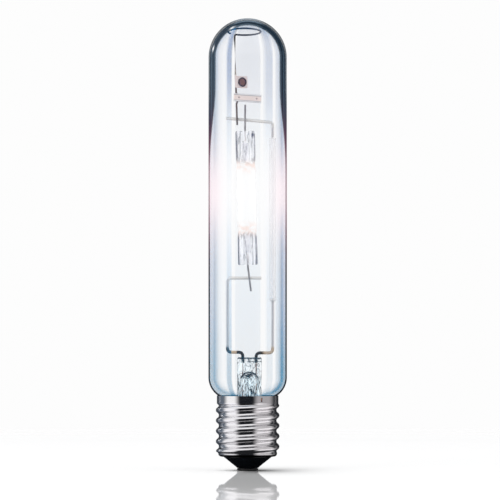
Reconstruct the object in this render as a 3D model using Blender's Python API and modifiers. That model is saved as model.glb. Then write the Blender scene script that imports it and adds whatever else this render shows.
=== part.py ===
"""Tubular metal halide lamp with a clear outer bulb and a large screw cap.

The lamp stands on its centre contact. The origin is the middle of the contact's flat underside,
+Z runs up the lamp's axis, and the photographed side faces -Y. Every length is in metres.
"""

import math

import bmesh
import bpy
from mathutils import Vector

# Clearances
SEAT_GAP = 0.0003  # between two pieces that touch in the real lamp
WINDING_GAP = 0.0001  # between a wound wire and what it is wound on
EDGE_ROUNDING = 0.0002  # on the rims of small pressed pieces

# Outer bulb
LAMP_LENGTH = 0.2770
BULB_RADIUS = 0.0240
BULB_WALL = 0.0013
CROWN_WALL = 0.0021
SHOULDER_ARC = 0.0135  # the shoulder's curve, seen from the side
NECK_ARC = 0.0060  # the curve that brings the shoulder into the neck
NECK_RADIUS = 0.0154

# Screw cap
CAP_HEIGHT = 0.0458  # from the centre contact to the shell's top rim
NECK_DEPTH = 0.0148  # how far the bulb's neck reaches into the cap
NECK_END_Z = CAP_HEIGHT - NECK_DEPTH
SHELL_WALL = 0.00042
COLLAR_RADIUS = 0.01885
COLLAR_HEIGHT = 0.0046
THREAD_CREST_RADIUS = 0.01945
THREAD_PITCH = 0.00635
THREAD_CREST_Z = 0.0147  # height of a crest on the +X side
THREAD_ARC = 0.00185  # crests and roots are both arcs of this radius
THREAD_DEPTH = 0.00180
THREAD_FADE = 0.0016  # height over which the thread starts and dies away
LIP_RADIUS = 0.0180  # shell below the last turn, before it curls in
LIP_ARC = 0.0018
LIP_INNER_RADIUS = 0.0145
LIP_Z = 0.0086

# Insulator and centre contact
CONTACT_RADIUS = 0.0066
CONTACT_FLAT_RADIUS = 0.0050
CONTACT_RIM_Z = 0.0013
CONTACT_WALL = 0.0005
LEAD_HOLE_RADIUS = 0.0019
INSULATOR_FOOT_RADIUS = 0.0069
FOOT_BEVEL = 0.0005  # round the insulator's foot
INSULATOR_TOP_Z = 0.0142
INSULATOR_FLOOR_Z = 0.0078
BOWL_RIM = 0.0024  # width of the insulator's upper rim
BOWL_SIDE = 0.0060  # how far the bowl's side leans in on its way down
BOWL_CURVE = 0.0020  # height of the bowl's side above its floor
HOLE_BEVEL = 0.0008  # round the lead hole, in the bowl
SOLDER_RECESS = 0.00005  # solder stays this far above the contact's underside
CEMENT_DROP = 0.0030  # from the collar's foot to the cement's top

# Glass stem
STEM_RADIUS = 0.0074
STEM_WALL = 0.0013
STEM_HEIGHT = 0.0383
STEM_TOP_Z = NECK_END_Z + STEM_HEIGHT
PRESS_WIDTH = 0.0151
PRESS_DEPTH = 0.0056
PRESS_HEIGHT = 0.0093
PRESS_START_Z = STEM_TOP_Z - PRESS_HEIGHT
PRESS_TAPER = 0.0070  # height over which the round tube flattens into the press
PRESS_ROUNDING = 0.0016  # height of the press's rounded top edge
FLARE_HEIGHT = 0.0110
CAVITY_DROP = 0.0020  # from the press's start to the ceiling of the hollow stem
CAVITY_TOP_Z = PRESS_START_Z - CAVITY_DROP
CAVITY_TAPER = 0.0066  # height over which the hollow inside flattens
EXHAUST_RADIUS = 0.0025
EXHAUST_BORE = 0.0015
EXHAUST_REACH = 0.0085  # below the neck's end
EXHAUST_TIP_Z = NECK_END_Z - EXHAUST_REACH
EXHAUST_TAPER = 0.0060  # height of the drawn tip
EXHAUST_SETBACK = 0.0006  # below the hollow's ceiling
PUMP_HOLE_RISE = 0.0019  # pump hole's height above the stem's inner ceiling

# Lead-in wires
PRESS_X = 0.0011  # the press stands a little to one side of the axis
LEAD_SPREAD = 0.0041  # each lead-in wire's distance from the middle of the press
SEAL_WIRE_RADIUS = 0.00038
ROD_DEPTH_IN_PRESS = 0.0035
SEAL_WIRE_REACH = 0.0080  # into the hollow stem
SEAL_WIRE_END_Z = CAVITY_TOP_Z - SEAL_WIRE_REACH
LEAD_RADIUS = 0.0003
LEAD_JOG = 0.0070  # height over which the centre lead comes to the axis
LEAD_BEND = 0.0040
SIDE_LEAD_BEND = 0.0007
SIDE_LEAD_DROP = 0.0022  # below the neck's end, where the side lead passes under it
SIDE_LEAD_TURN = 0.0050  # above the flare's rim, where it starts to lean outwards
GROOVE_EXIT = 0.0034  # below the slot's middle, where it leaves the groove
SIDE_LEAD_BEARING = math.radians(-63.0)  # where the side lead meets the collar
SLOT_WIDTH = 0.0013
SLOT_HEIGHT = 0.0028
SLOT_DROP = 0.0022  # from the cap's rim to the slot's middle
SLOT_Z = CAP_HEIGHT - SLOT_DROP

# Frame rods
ROD_RADIUS = 0.00095
BEND_RADIUS = 0.0023
LEFT_ROD_X = -0.0124
RIGHT_ROD_X = 0.0153
LEFT_FOOT_HEIGHT = 0.0030
RIGHT_FOOT_HEIGHT = 0.0026
LEFT_FOOT_Z = STEM_TOP_Z + LEFT_FOOT_HEIGHT
RIGHT_FOOT_Z = STEM_TOP_Z + RIGHT_FOOT_HEIGHT
LOWER_BAR_END_X = 0.0084
UPPER_BAR_END_X = -0.0132
UPPER_BAR_RISE = 0.0026

# Arc tube
LOOP_DROP = 0.0080  # from the crown to the bracing loop, which stands over the whole frame
LOOP_Z = LAMP_LENGTH - LOOP_DROP
ARC_TUBE_SHARE = 0.48823  # its middle's share of the way from the stem to the loop
ARC_TUBE_X = -0.0007
ARC_TUBE_Z = STEM_TOP_Z + ARC_TUBE_SHARE * (LOOP_Z - STEM_TOP_Z)
ARC_TUBE_LEAN = math.radians(-1.2)
BODY_RADIUS = 0.00625
BODY_HALF = 0.0210  # half the length of the unpressed body
CAVITY_RADIUS = 0.0052
END_WALL = 0.0025
CAVITY_HALF = BODY_HALF - END_WALL
PINCH_LENGTH = 0.0200
PINCH_WIDTH = 0.0119
PINCH_WEB = 0.0027
PINCH_RIM = 0.0040
PINCH_RIM_START = 0.40  # share of the half width where the web starts to thicken into the rim
PINCH_RIM_BLEND = 0.30
PINCH_EDGE = 0.34  # share of the half width that the rounded edge takes
FOIL_SETBACK = 0.0034  # from the cavity's end to the foil
FOIL_LENGTH = 0.0120
FOIL_WIDTH = 0.0034
FOIL_THICKNESS = 0.00014
SHANK_RADIUS = 0.0004
ELECTRODE_REACH = 0.0060  # how far each electrode stands into the arc tube
COIL_WIRE_RADIUS = 0.00028
COIL_TURNS = 5
COIL_PITCH = 0.00072
BORE_OVERLAP = 0.0010  # how far a bore's cutter runs on into open space
TIP_BARE = 0.0009  # shank that stands out of the coil
ARC_LEAD_RADIUS = 0.00055
UPPER_LEAD_LENGTH = 0.0162  # outside the pinch
LOWER_LEAD_LENGTH = 0.0163
LOWER_LEAD_BEND = math.radians(6.0)
UPPER_LEAD_BEND = math.radians(1.5)
LEAD_KNEE = 0.0016  # each lead's bend, beyond the pinch
LEAD_KNEE_RADIUS = 0.0060

# Crossbars and sleeve, by the arc tube's two ends
PINCH_REACH = BODY_HALF + PINCH_LENGTH  # from the arc tube's middle to each end
LOWER_BAR_CLEARANCE = 0.0081  # from the arc tube's lower end to the lower crossbar
UPPER_BAR_CLEARANCE = 0.0054
LOWER_BAR_Z = ARC_TUBE_Z - PINCH_REACH - LOWER_BAR_CLEARANCE
UPPER_BAR_Z = ARC_TUBE_Z + PINCH_REACH + UPPER_BAR_CLEARANCE
SLEEVE_BORE = ROD_RADIUS + SEAT_GAP
SLEEVE_RADIUS = 0.0019
SLEEVE_BELOW_BAR = 0.0127
SLEEVE_BELOW_BEND = 0.0097
SLEEVE_BOTTOM_Z = LOWER_BAR_Z - SLEEVE_BELOW_BAR
SLEEVE_TOP_Z = UPPER_BAR_Z - SLEEVE_BELOW_BEND
STOP_HEIGHT = 0.0012

# Top support wire and getters
SUPPORT_RADIUS = 0.00055
SUPPORT_X = -0.0073  # where the wire passes the getter plate
SUPPORT_FOOT_X = -0.0064  # where the wire is welded to the upper bar
SUPPORT_TAIL = 0.0037  # below the upper bar's centreline
SUPPORT_BEND = 0.0019
LOOP_X = -0.0020
LOOP_HALF_WIDTH = 0.0100
LOOP_TILT = math.radians(3.7)
LOOP_ENTRY = math.radians(53.0)  # where the riser joins the loop, back from its left end
LOOP_OPENING = math.radians(22.0)
PLATE_WIDTH = 0.0090
PLATE_HEIGHT = 0.0073
SHEET_THICKNESS = 0.0003
PLATE_TURN = math.radians(33.0)
PLATE_OVERLAP = 0.0006  # how far the plate reaches past the support wire
CUP_OFFSET = 0.0006  # from the plate's middle, away from the wire
CUP_RADIUS = 0.00295
CUP_WALL = 0.00035
CUP_DEPTH = 0.0013
STRIP_LENGTH = 0.0169
STRIP_HEIGHT = 0.0049
STRIP_X = -0.0001
STRIP_CLEARANCE = 0.0040  # from the upper lead's end to the strip's middle
PLATE_CLEARANCE = 0.0039  # between the strip and the plate
STRIP_Z = ARC_TUBE_Z + PINCH_REACH + UPPER_LEAD_LENGTH + STRIP_CLEARANCE
PLATE_Z = STRIP_Z + (STRIP_HEIGHT + PLATE_HEIGHT) / 2 + PLATE_CLEARANCE
STRIP_SLOPE = math.radians(4.2)
STRIP_JOG = 0.0018  # the wire's sideways bend at its weld to the strip
JOG_REACH = 0.0035  # height of the bend above and below the weld
STRIP_EDGE_RADIUS = 0.0004

# Facets
BULB_SIDES = 32
SHELL_SIDES = 32
INSULATOR_SIDES = 28
ROWS_PER_PITCH = 5
TUBE_SIDES = 20
SMALL_SIDES = 16
BORE_SIDES = 12
COIL_POINTS = 8  # in each turn of an electrode coil
SMOOTH_ANGLE = math.radians(35.0)
MERGE = 0.00001

# Finishes: colour, roughness, metallic, transmission
FINISHES = {
    "hard_glass": ((0.93, 0.97, 1.0), 0.02, 0.0, 1.0),
    "quartz": ((0.97, 0.98, 1.0), 0.04, 0.0, 1.0),
    "nickel": ((0.74, 0.73, 0.71), 0.18, 1.0, 0.0),
    "steel_rod": ((0.46, 0.43, 0.40), 0.32, 1.0, 0.0),
    "tungsten": ((0.30, 0.30, 0.31), 0.45, 1.0, 0.0),
    "molybdenum": ((0.36, 0.36, 0.38), 0.35, 1.0, 0.0),
    "copper": ((0.62, 0.30, 0.17), 0.35, 1.0, 0.0),
    "getter_powder": ((0.11, 0.07, 0.06), 0.90, 0.0, 0.0),
    "black_glass": ((0.012, 0.014, 0.016), 0.12, 0.0, 0.0),
    "solder": ((0.60, 0.61, 0.62), 0.30, 1.0, 0.0),
    "cement": ((0.78, 0.75, 0.68), 0.90, 0.0, 0.0),
}


def start_scene():
    """Empties the file and makes the collections for the lamp and its cutters."""
    for old in list(bpy.data.objects):
        bpy.data.objects.remove(old)
    for name in ("metal_halide_lamp", "cutters"):
        bpy.context.scene.collection.children.link(bpy.data.collections.new(name))


def add(name, data, finish=None):
    """A new object: a piece of the lamp when it has a finish, and otherwise a cutter."""
    obj = bpy.data.objects.new(name, data)
    if finish is None:
        bpy.data.collections["cutters"].objects.link(obj)
        obj.hide_render = True
        obj.display_type = "WIRE"
        return obj
    bpy.data.collections["metal_halide_lamp"].objects.link(obj)
    colour, roughness, metallic, transmission = FINISHES[finish]
    material = bpy.data.materials.new(f"{name}_{finish}")
    material.use_nodes = True
    shader = material.node_tree.nodes["Principled BSDF"]
    shader.inputs["Base Color"].default_value = (*colour, 1.0)
    shader.inputs["Roughness"].default_value = roughness
    shader.inputs["Metallic"].default_value = metallic
    shader.inputs["Transmission Weight"].default_value = transmission
    data.materials.append(material)
    return obj


def turned(name, profile, finish=None, sides=TUBE_SIDES):
    """A shape turned about Z. The profile's (radius, height) points run down its outer side."""
    on_axis = profile[0][0] == 0 and profile[-1][0] == 0
    count = len(profile)
    edges = [(i, i + 1) for i in range(count - 1)]
    if not on_axis:
        edges.append((count - 1, 0))
    mesh = bpy.data.meshes.new(name)
    mesh.from_pydata([(radius, 0, height) for radius, height in profile], edges, [])
    obj = add(name, mesh, finish)
    screw = obj.modifiers.new("turn", "SCREW")
    screw.axis = "Z"
    screw.angle = math.tau
    screw.steps = sides
    screw.render_steps = sides
    screw.use_merge_vertices = True
    screw.merge_threshold = MERGE
    screw.use_smooth_shade = True
    return obj


def wire(name, points, radius, finish, resolution=2):
    """A round wire along the points, with closed ends."""
    curve = bpy.data.curves.new(name, "CURVE")
    curve.dimensions = "3D"
    curve.bevel_depth = radius
    curve.bevel_resolution = resolution
    curve.use_fill_caps = True
    spline = curve.splines.new("POLY")
    spline.points.add(len(points) - 1)
    for slot, point in zip(spline.points, points):
        slot.co = (*point, 1.0)
    return add(name, curve, finish)


def rod_cutter(name, radius, bottom, top, at=(0.0, 0.0), sides=16):
    """A plain round cutter that stands on Z between two heights."""
    mesh = bpy.data.meshes.new(name)
    bm = bmesh.new()
    bmesh.ops.create_cone(
        bm, cap_ends=True, segments=sides, radius1=radius, radius2=radius, depth=top - bottom
    )
    bmesh.ops.translate(bm, verts=bm.verts, vec=(at[0], at[1], (top + bottom) / 2))
    bm.to_mesh(mesh)
    bm.free()
    return add(name, mesh)


def block(name, size, centre, finish=None):
    """A box by its size and centre."""
    mesh = bpy.data.meshes.new(name)
    bm = bmesh.new()
    bmesh.ops.create_cube(bm, size=1.0)
    bmesh.ops.scale(bm, verts=bm.verts, vec=size)
    bmesh.ops.translate(bm, verts=bm.verts, vec=centre)
    bm.to_mesh(mesh)
    bm.free()
    return add(name, mesh, finish)


def loft(name, rings, finish):
    """A skin over rings of equally many points, closed at both ends, for unlike sections."""
    mesh = bpy.data.meshes.new(name)
    bm = bmesh.new()
    rows = [[bm.verts.new(point) for point in ring] for ring in rings]
    count = len(rings[0])
    for lower, upper in zip(rows, rows[1:]):
        for i in range(count):
            j = (i + 1) % count
            bm.faces.new((lower[i], lower[j], upper[j], upper[i]))
    bm.faces.new(list(reversed(rows[0])))
    bm.faces.new(rows[-1])
    bmesh.ops.recalc_face_normals(bm, faces=bm.faces)
    bm.to_mesh(mesh)
    bm.free()
    mesh.shade_smooth()
    mesh.set_sharp_from_angle(angle=SMOOTH_ANGLE)
    return add(name, mesh, finish)


def subtract(obj, *cutters):
    """Cuts each cutter from the object, in order."""
    for cutter in cutters:
        cut = obj.modifiers.new(cutter.name, "BOOLEAN")
        cut.operation = "DIFFERENCE"
        cut.object = cutter


def arc(centre, radius, start, end, steps):
    """Points on a circle in a profile's plane, from one angle to another."""
    found = []
    for i in range(steps + 1):
        angle = start + (end - start) * i / steps
        found.append((centre[0] + radius * math.cos(angle), centre[1] + radius * math.sin(angle)))
    return found


def bent(corners, radius, steps=4):
    """The centreline of a wire that is bent at each inner corner, as points."""
    corners = [Vector(corner) for corner in corners]
    path = [corners[0]]
    for before, corner, after in zip(corners, corners[1:], corners[2:]):
        inward = (before - corner).normalized()
        onward = (after - corner).normalized()
        half_angle = inward.angle(onward) / 2
        reach = radius / math.tan(half_angle)
        centre = corner + (inward + onward).normalized() * (radius / math.sin(half_angle))
        start = (corner + inward * reach - centre).normalized()
        end = (corner + onward * reach - centre).normalized()
        for i in range(steps + 1):
            path.append(centre + start.slerp(end, i / steps) * radius)
    path.append(corners[-1])
    return path


def smooth(share):
    """An even start and stop between 0 and 1."""
    share = min(max(share, 0.0), 1.0)
    return share * share * (3 - 2 * share)


# Outer bulb: one blown piece, from the crown down to the neck inside the cap.

RIM_GLASS_RADIUS = COLLAR_RADIUS - SHELL_WALL - SEAT_GAP
SHOULDER_DROP = math.sqrt(
    SHOULDER_ARC**2 - (SHOULDER_ARC - BULB_RADIUS + RIM_GLASS_RADIUS) ** 2
)
SHOULDER_TOP_Z = CAP_HEIGHT + SHOULDER_DROP
SHOULDER_ANGLE = math.acos(1 - (BULB_RADIUS - NECK_RADIUS) / (SHOULDER_ARC + NECK_ARC))
CROWN_Z = LAMP_LENGTH - BULB_RADIUS


def bulb_side(inset, crown_height, crown_steps):
    """One side of the bulb's wall, from the crown to the neck's end, moved in by the inset."""
    side = []
    for i in range(crown_steps + 1):
        angle = math.pi / 2 * i / crown_steps
        side.append(
            ((BULB_RADIUS - inset) * math.sin(angle), CROWN_Z + crown_height * math.cos(angle))
        )
    shoulder_centre = (BULB_RADIUS - SHOULDER_ARC, SHOULDER_TOP_Z)
    side += arc(shoulder_centre, SHOULDER_ARC - inset, 0.0, -SHOULDER_ANGLE, 6)
    lowest = SHOULDER_TOP_Z - (SHOULDER_ARC + NECK_ARC) * math.sin(SHOULDER_ANGLE)
    neck_centre = (NECK_RADIUS + NECK_ARC, lowest)
    side += arc(neck_centre, NECK_ARC + inset, math.pi - SHOULDER_ANGLE, math.pi, 3)[1:]
    side.append((NECK_RADIUS - inset, NECK_END_Z))
    return side


def make_outer_bulb():
    outside = bulb_side(0.0, BULB_RADIUS, 9)
    inside = bulb_side(BULB_WALL, BULB_RADIUS - CROWN_WALL, 8)
    turned("outer_bulb", outside + inside[::-1], "hard_glass", BULB_SIDES)


# Screw cap: a thin rolled shell, black glass insulator and a centre contact.

THREAD_TOP_Z = CAP_HEIGHT - COLLAR_HEIGHT
THREAD_END_Z = LIP_Z + LIP_ARC
THREAD_ROOT_RADIUS = THREAD_CREST_RADIUS - THREAD_DEPTH
SHELL_BORE = THREAD_ROOT_RADIUS - SHELL_WALL


def thread_radius(height, bearing):
    """The rolled round thread: arcs of one radius for crests and roots, right-handed."""
    turn = (height - THREAD_CREST_Z) / THREAD_PITCH - bearing / math.tau
    offset = abs(turn - round(turn)) * THREAD_PITCH
    if offset < THREAD_PITCH / 4:
        return THREAD_CREST_RADIUS - THREAD_ARC + math.sqrt(THREAD_ARC**2 - offset**2)
    from_root = THREAD_PITCH / 2 - offset
    return THREAD_ROOT_RADIUS + THREAD_ARC - math.sqrt(THREAD_ARC**2 - from_root**2)


def shell_stations():
    """Rows of the shell from its lip to its rim: plain radius, height and share of thread."""
    lip_centre = (LIP_RADIUS - LIP_ARC, THREAD_END_Z)
    lip = arc(lip_centre, LIP_ARC, -math.pi / 2, 0.0, 3)
    rows = [(LIP_INNER_RADIUS, LIP_Z, 0.0)]
    rows += [(radius, height, 0.0) for radius, height in lip]
    thread_rows = round((THREAD_TOP_Z - THREAD_END_Z) / THREAD_PITCH * ROWS_PER_PITCH)
    for i in range(1, thread_rows):
        height = THREAD_END_Z + (THREAD_TOP_Z - THREAD_END_Z) * i / thread_rows
        plain = LIP_RADIUS + (COLLAR_RADIUS - LIP_RADIUS) * i / thread_rows
        started = smooth((THREAD_TOP_Z - height) / THREAD_FADE)
        ended = smooth((height - THREAD_END_Z) / THREAD_FADE)
        rows.append((plain, height, started * ended))
    rows.append((COLLAR_RADIUS, THREAD_TOP_Z, 0.0))
    rows.append((COLLAR_RADIUS, CAP_HEIGHT, 0.0))
    return rows


def make_cap_shell():
    """A flat blank is wrapped round the axis and takes the thread, then gets its thickness."""
    rows = shell_stations()
    last = len(rows) - 1
    mesh = bpy.data.meshes.new("cap_shell")
    bm = bmesh.new()
    bmesh.ops.create_grid(bm, x_segments=SHELL_SIDES, y_segments=last, size=1.0)
    for vertex in bm.verts:
        bearing = math.pi * (vertex.co.x + 1)
        plain, height, thread = rows[round((vertex.co.y + 1) / 2 * last)]
        radius = plain + (thread_radius(height, bearing) - plain) * thread
        vertex.co = (radius * math.cos(bearing), radius * math.sin(bearing), height)
    bmesh.ops.remove_doubles(bm, verts=bm.verts, dist=MERGE)
    bm.to_mesh(mesh)
    bm.free()
    mesh.shade_smooth()
    shell = add("cap_shell", mesh, "nickel")
    wall = shell.modifiers.new("sheet", "SOLIDIFY")
    wall.thickness = SHELL_WALL
    wall.offset = -1.0
    wall.use_even_offset = True
    slot = block("lead_slot", (4 * SHELL_WALL, SLOT_WIDTH, SLOT_HEIGHT), (COLLAR_RADIUS, 0, SLOT_Z))
    slot.rotation_euler.z = SIDE_LEAD_BEARING
    subtract(shell, slot)


def make_insulator():
    """Black glass, moulded into the shell's curled lip, with a bowl inside and a lead hole."""
    waist = LIP_INNER_RADIUS - SEAT_GAP
    above_lip = LIP_Z + SHELL_WALL + SEAT_GAP
    curl_centre = (LIP_RADIUS - LIP_ARC, THREAD_END_Z)
    curl_radius = LIP_ARC - SHELL_WALL - SEAT_GAP
    fit = SHELL_BORE - SEAT_GAP
    curl_end = -math.acos(min(1.0, (fit - curl_centre[0]) / curl_radius))
    seat_z = CONTACT_RIM_Z + SEAT_GAP
    profile = [
        (fit - BOWL_RIM, INSULATOR_TOP_Z),
        (fit, INSULATOR_TOP_Z),
        *reversed(arc(curl_centre, curl_radius, -math.pi / 2, curl_end, 3)),
        (waist, above_lip),
        (waist, LIP_Z - SEAT_GAP),
        (LIP_INNER_RADIUS, LIP_Z - SEAT_GAP),
        (INSULATOR_FOOT_RADIUS, seat_z + FOOT_BEVEL),
        (INSULATOR_FOOT_RADIUS - FOOT_BEVEL, seat_z),
        (LEAD_HOLE_RADIUS, seat_z),
        (LEAD_HOLE_RADIUS, INSULATOR_FLOOR_Z - HOLE_BEVEL),
        (LEAD_HOLE_RADIUS + HOLE_BEVEL, INSULATOR_FLOOR_Z),
        (fit - BOWL_SIDE, INSULATOR_FLOOR_Z + BOWL_CURVE),
    ]
    turned("cap_insulator", profile, "black_glass", INSULATOR_SIDES)


def make_contact():
    """A dished brass disc with a hole for the lead, and the solder that fills the hole."""
    profile = [
        (CONTACT_RADIUS - CONTACT_WALL, CONTACT_RIM_Z),
        (CONTACT_RADIUS, CONTACT_RIM_Z - EDGE_ROUNDING),
        (CONTACT_RADIUS - EDGE_ROUNDING, CONTACT_RIM_Z / 2),
        ((CONTACT_RADIUS + CONTACT_FLAT_RADIUS) / 2, EDGE_ROUNDING),
        (CONTACT_FLAT_RADIUS, 0.0),
        (LEAD_HOLE_RADIUS, 0.0),
        (LEAD_HOLE_RADIUS, CONTACT_WALL),
        (CONTACT_FLAT_RADIUS, CONTACT_WALL),
    ]
    turned("centre_contact", profile, "nickel")
    solder_radius = LEAD_HOLE_RADIUS - SEAT_GAP
    solder = [
        (0.0, CONTACT_RIM_Z),
        (solder_radius * 0.7, CONTACT_RIM_Z - 2 * SOLDER_RECESS),
        (solder_radius, CONTACT_WALL),
        (solder_radius, SEAT_GAP),
        (solder_radius * 0.8, 2 * SOLDER_RECESS),
        (0.0, SOLDER_RECESS),
    ]
    turned("contact_solder", solder, "solder", SMALL_SIDES)


def make_cement():
    """The cement ring that holds the bulb's neck in the shell, with a groove for the side lead."""
    outer = SHELL_BORE - SEAT_GAP
    inner = NECK_RADIUS + SEAT_GAP
    top = THREAD_TOP_Z - CEMENT_DROP
    bottom = NECK_END_Z + SEAT_GAP
    ring = turned(
        "basing_cement",
        [(outer, top), (outer, bottom), (inner, bottom), (inner, top)],
        "cement",
        INSULATOR_SIDES,
    )
    width = 2 * (LEAD_RADIUS + SEAT_GAP)
    groove = block(
        "lead_groove", (4 * (outer - inner), width, 2 * (top - bottom)),
        ((outer + inner) / 2, 0, (top + bottom) / 2),
    )
    groove.rotation_euler.z = SIDE_LEAD_BEARING
    subtract(ring, groove)


# Glass stem: a flared tube pressed flat over the lead-in wires, and the exhaust tube in it.

FLARE_RADIUS = NECK_RADIUS - BULB_WALL - SEAT_GAP
FLARE_BOTTOM_Z = NECK_END_Z + SEAT_GAP


def stem_x(height):
    """The stem's middle leans from the axis, at the flare, to the press's own place."""
    return PRESS_X * smooth((height - FLARE_BOTTOM_Z) / FLARE_HEIGHT)


def oval(half_width, half_depth, squareness, height, count=TUBE_SIDES):
    """A ring that is an ellipse at squareness 2 and nears a rectangle above that."""
    ring = []
    middle = stem_x(height)
    for i in range(count):
        angle = math.tau * i / count
        across = math.cos(angle)
        along = math.sin(angle)
        x = middle + math.copysign(abs(across) ** (2 / squareness), across) * half_width
        y = math.copysign(abs(along) ** (2 / squareness), along) * half_depth
        ring.append((x, y, height))
    return ring


def flare_at(share, radius, rim):
    """The trumpet's radius, from its rim at share 0 to the plain tube at share 1."""
    return radius + (rim - radius) * (1 - smooth(share)) ** 1.5


def make_stem():
    """One loft: up the inside from the rim, and back down the outside."""
    inner = STEM_RADIUS - STEM_WALL
    half_press = PRESS_WIDTH / 2
    half_depth = PRESS_DEPTH / 2
    rings = [
        oval(inner * 0.76, half_depth * 0.66, 3.0, CAVITY_TOP_Z),
        oval(inner * 0.90, half_depth * 0.95, 2.6, CAVITY_TOP_Z - 0.12 * CAVITY_TAPER),
        oval(inner * 0.98, inner * 0.74, 2.2, CAVITY_TOP_Z - 0.52 * CAVITY_TAPER),
        oval(inner, inner, 2.0, CAVITY_TOP_Z - CAVITY_TAPER),
    ]
    shares = [i / 6 for i in range(6, -1, -1)]
    for share in shares:
        radius = flare_at(share, inner, FLARE_RADIUS - STEM_WALL)
        rings.append(oval(radius, radius, 2.0, FLARE_BOTTOM_Z + FLARE_HEIGHT * share))
    for share in reversed(shares):
        radius = flare_at(share, STEM_RADIUS, FLARE_RADIUS)
        rings.append(oval(radius, radius, 2.0, FLARE_BOTTOM_Z + FLARE_HEIGHT * share))
    rings += [
        oval(STEM_RADIUS, STEM_RADIUS, 2.0, PRESS_START_Z - PRESS_TAPER),
        oval(STEM_RADIUS * 0.99, STEM_RADIUS * 0.80, 2.3, PRESS_START_Z - 0.51 * PRESS_TAPER),
        oval(half_press, half_depth * 1.25, 3.2, PRESS_START_Z - 0.09 * PRESS_TAPER),
        oval(half_press, half_depth, 4.5, PRESS_START_Z + 0.17 * PRESS_TAPER),
        oval(half_press, half_depth, 4.5, STEM_TOP_Z - PRESS_ROUNDING),
        oval(half_press * 0.96, half_depth * 0.88, 4.0, STEM_TOP_Z - 0.3 * PRESS_ROUNDING),
        oval(half_press * 0.87, half_depth * 0.68, 3.4, STEM_TOP_Z),
    ]
    stem = loft("glass_stem", rings, "hard_glass")
    pump_hole_z = CAVITY_TOP_Z + PUMP_HOLE_RISE
    middle = (PRESS_X, 0.0)
    below_ceiling = CAVITY_TOP_Z - EXHAUST_SETBACK
    pump_bore = rod_cutter("pump_bore", EXHAUST_BORE, below_ceiling, pump_hole_z, middle)
    pump_hole = rod_cutter("pump_hole", EXHAUST_BORE * 0.86, 0.0, PRESS_DEPTH)
    pump_hole.rotation_euler.x = math.radians(90.0)
    pump_hole.location = (PRESS_X, 0, pump_hole_z)
    cutters = [pump_bore, pump_hole]
    socket_bottom = STEM_TOP_Z - ROD_DEPTH_IN_PRESS - SEAT_GAP
    above_press = STEM_TOP_Z + PRESS_ROUNDING
    seal_bore_bottom = CAVITY_TOP_Z - CAVITY_TAPER / 2
    for side, name in ((-1, "left"), (1, "right")):
        at = (PRESS_X + side * LEAD_SPREAD, 0.0)
        socket = rod_cutter(
            f"rod_socket_{name}", ROD_RADIUS + SEAT_GAP, socket_bottom, above_press, at
        )
        seal_bore = rod_cutter(
            f"seal_bore_{name}", SEAL_WIRE_RADIUS + SEAT_GAP,
            seal_bore_bottom, socket_bottom + SEAT_GAP, at, BORE_SIDES,
        )
        cutters += [socket, seal_bore]
    subtract(stem, *cutters)


def make_exhaust_tube():
    """The pumping tube, open at the stem and drawn to a closed tip in the cap."""
    top = CAVITY_TOP_Z - SEAT_GAP - EXHAUST_SETBACK
    profile = [
        (0.0, EXHAUST_TIP_Z + 0.57 * EXHAUST_TAPER),
        (EXHAUST_BORE, EXHAUST_TIP_Z + EXHAUST_TAPER),
        (EXHAUST_BORE, top),
        (EXHAUST_RADIUS * 0.8, top),
        (EXHAUST_RADIUS, top - EXHAUST_SETBACK),
        (EXHAUST_RADIUS, EXHAUST_TIP_Z + EXHAUST_TAPER),
        (EXHAUST_RADIUS * 0.86, EXHAUST_TIP_Z + 0.57 * EXHAUST_TAPER),
        (EXHAUST_RADIUS * 0.40, EXHAUST_TIP_Z + 0.15 * EXHAUST_TAPER),
        (0.0, EXHAUST_TIP_Z),
    ]
    tube = turned("exhaust_tube", profile, "hard_glass", BORE_SIDES)
    tube.location.x = PRESS_X


# Lead-in wires: the seal wires through the press, and the leads down into the cap.


def make_lead_in_wires():
    seal_top = STEM_TOP_Z - ROD_DEPTH_IN_PRESS - SEAT_GAP
    for side, name in ((-1, "left"), (1, "right")):
        x = PRESS_X + side * LEAD_SPREAD
        path = [(x, 0, seal_top), (x, 0, SEAL_WIRE_END_Z)]
        wire(f"seal_wire_{name}", path, SEAL_WIRE_RADIUS, "copper")
    lead_top = SEAL_WIRE_END_Z - SEAT_GAP
    centre_path = [
        (PRESS_X - LEAD_SPREAD, 0, lead_top),
        (PRESS_X - LEAD_SPREAD, 0, EXHAUST_TIP_Z),
        (0, 0, EXHAUST_TIP_Z - LEAD_JOG),
        (0, 0, CONTACT_RIM_Z + SEAT_GAP),
    ]
    wire("centre_lead", bent(centre_path, LEAD_BEND), LEAD_RADIUS, "copper")
    groove_radius = (SHELL_BORE + NECK_RADIUS) / 2
    slot_radius = COLLAR_RADIUS - SHELL_WALL / 2
    under_neck = NECK_END_Z - SIDE_LEAD_DROP

    def at(radius, height):
        return (
            radius * math.cos(SIDE_LEAD_BEARING), radius * math.sin(SIDE_LEAD_BEARING), height
        )

    side_path = [
        (PRESS_X + LEAD_SPREAD, 0, lead_top),
        (PRESS_X + LEAD_SPREAD, 0, FLARE_BOTTOM_Z + SIDE_LEAD_TURN),
        at(NECK_RADIUS / 2, under_neck),
        at(groove_radius, under_neck),
        at(groove_radius, SLOT_Z - GROOVE_EXIT),
        at(slot_radius, SLOT_Z - SLOT_HEIGHT / 2 + SEAT_GAP + LEAD_RADIUS),
        at(slot_radius, SLOT_Z + SLOT_HEIGHT / 2 - SEAT_GAP),
    ]
    wire("side_lead", bent(side_path, SIDE_LEAD_BEND, 3), LEAD_RADIUS, "copper")


# Frame: two bent rods carry the arc tube, and a wire above them braces the frame in the dome.

BAR_Y = ARC_LEAD_RADIUS + SEAT_GAP + ROD_RADIUS


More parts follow.
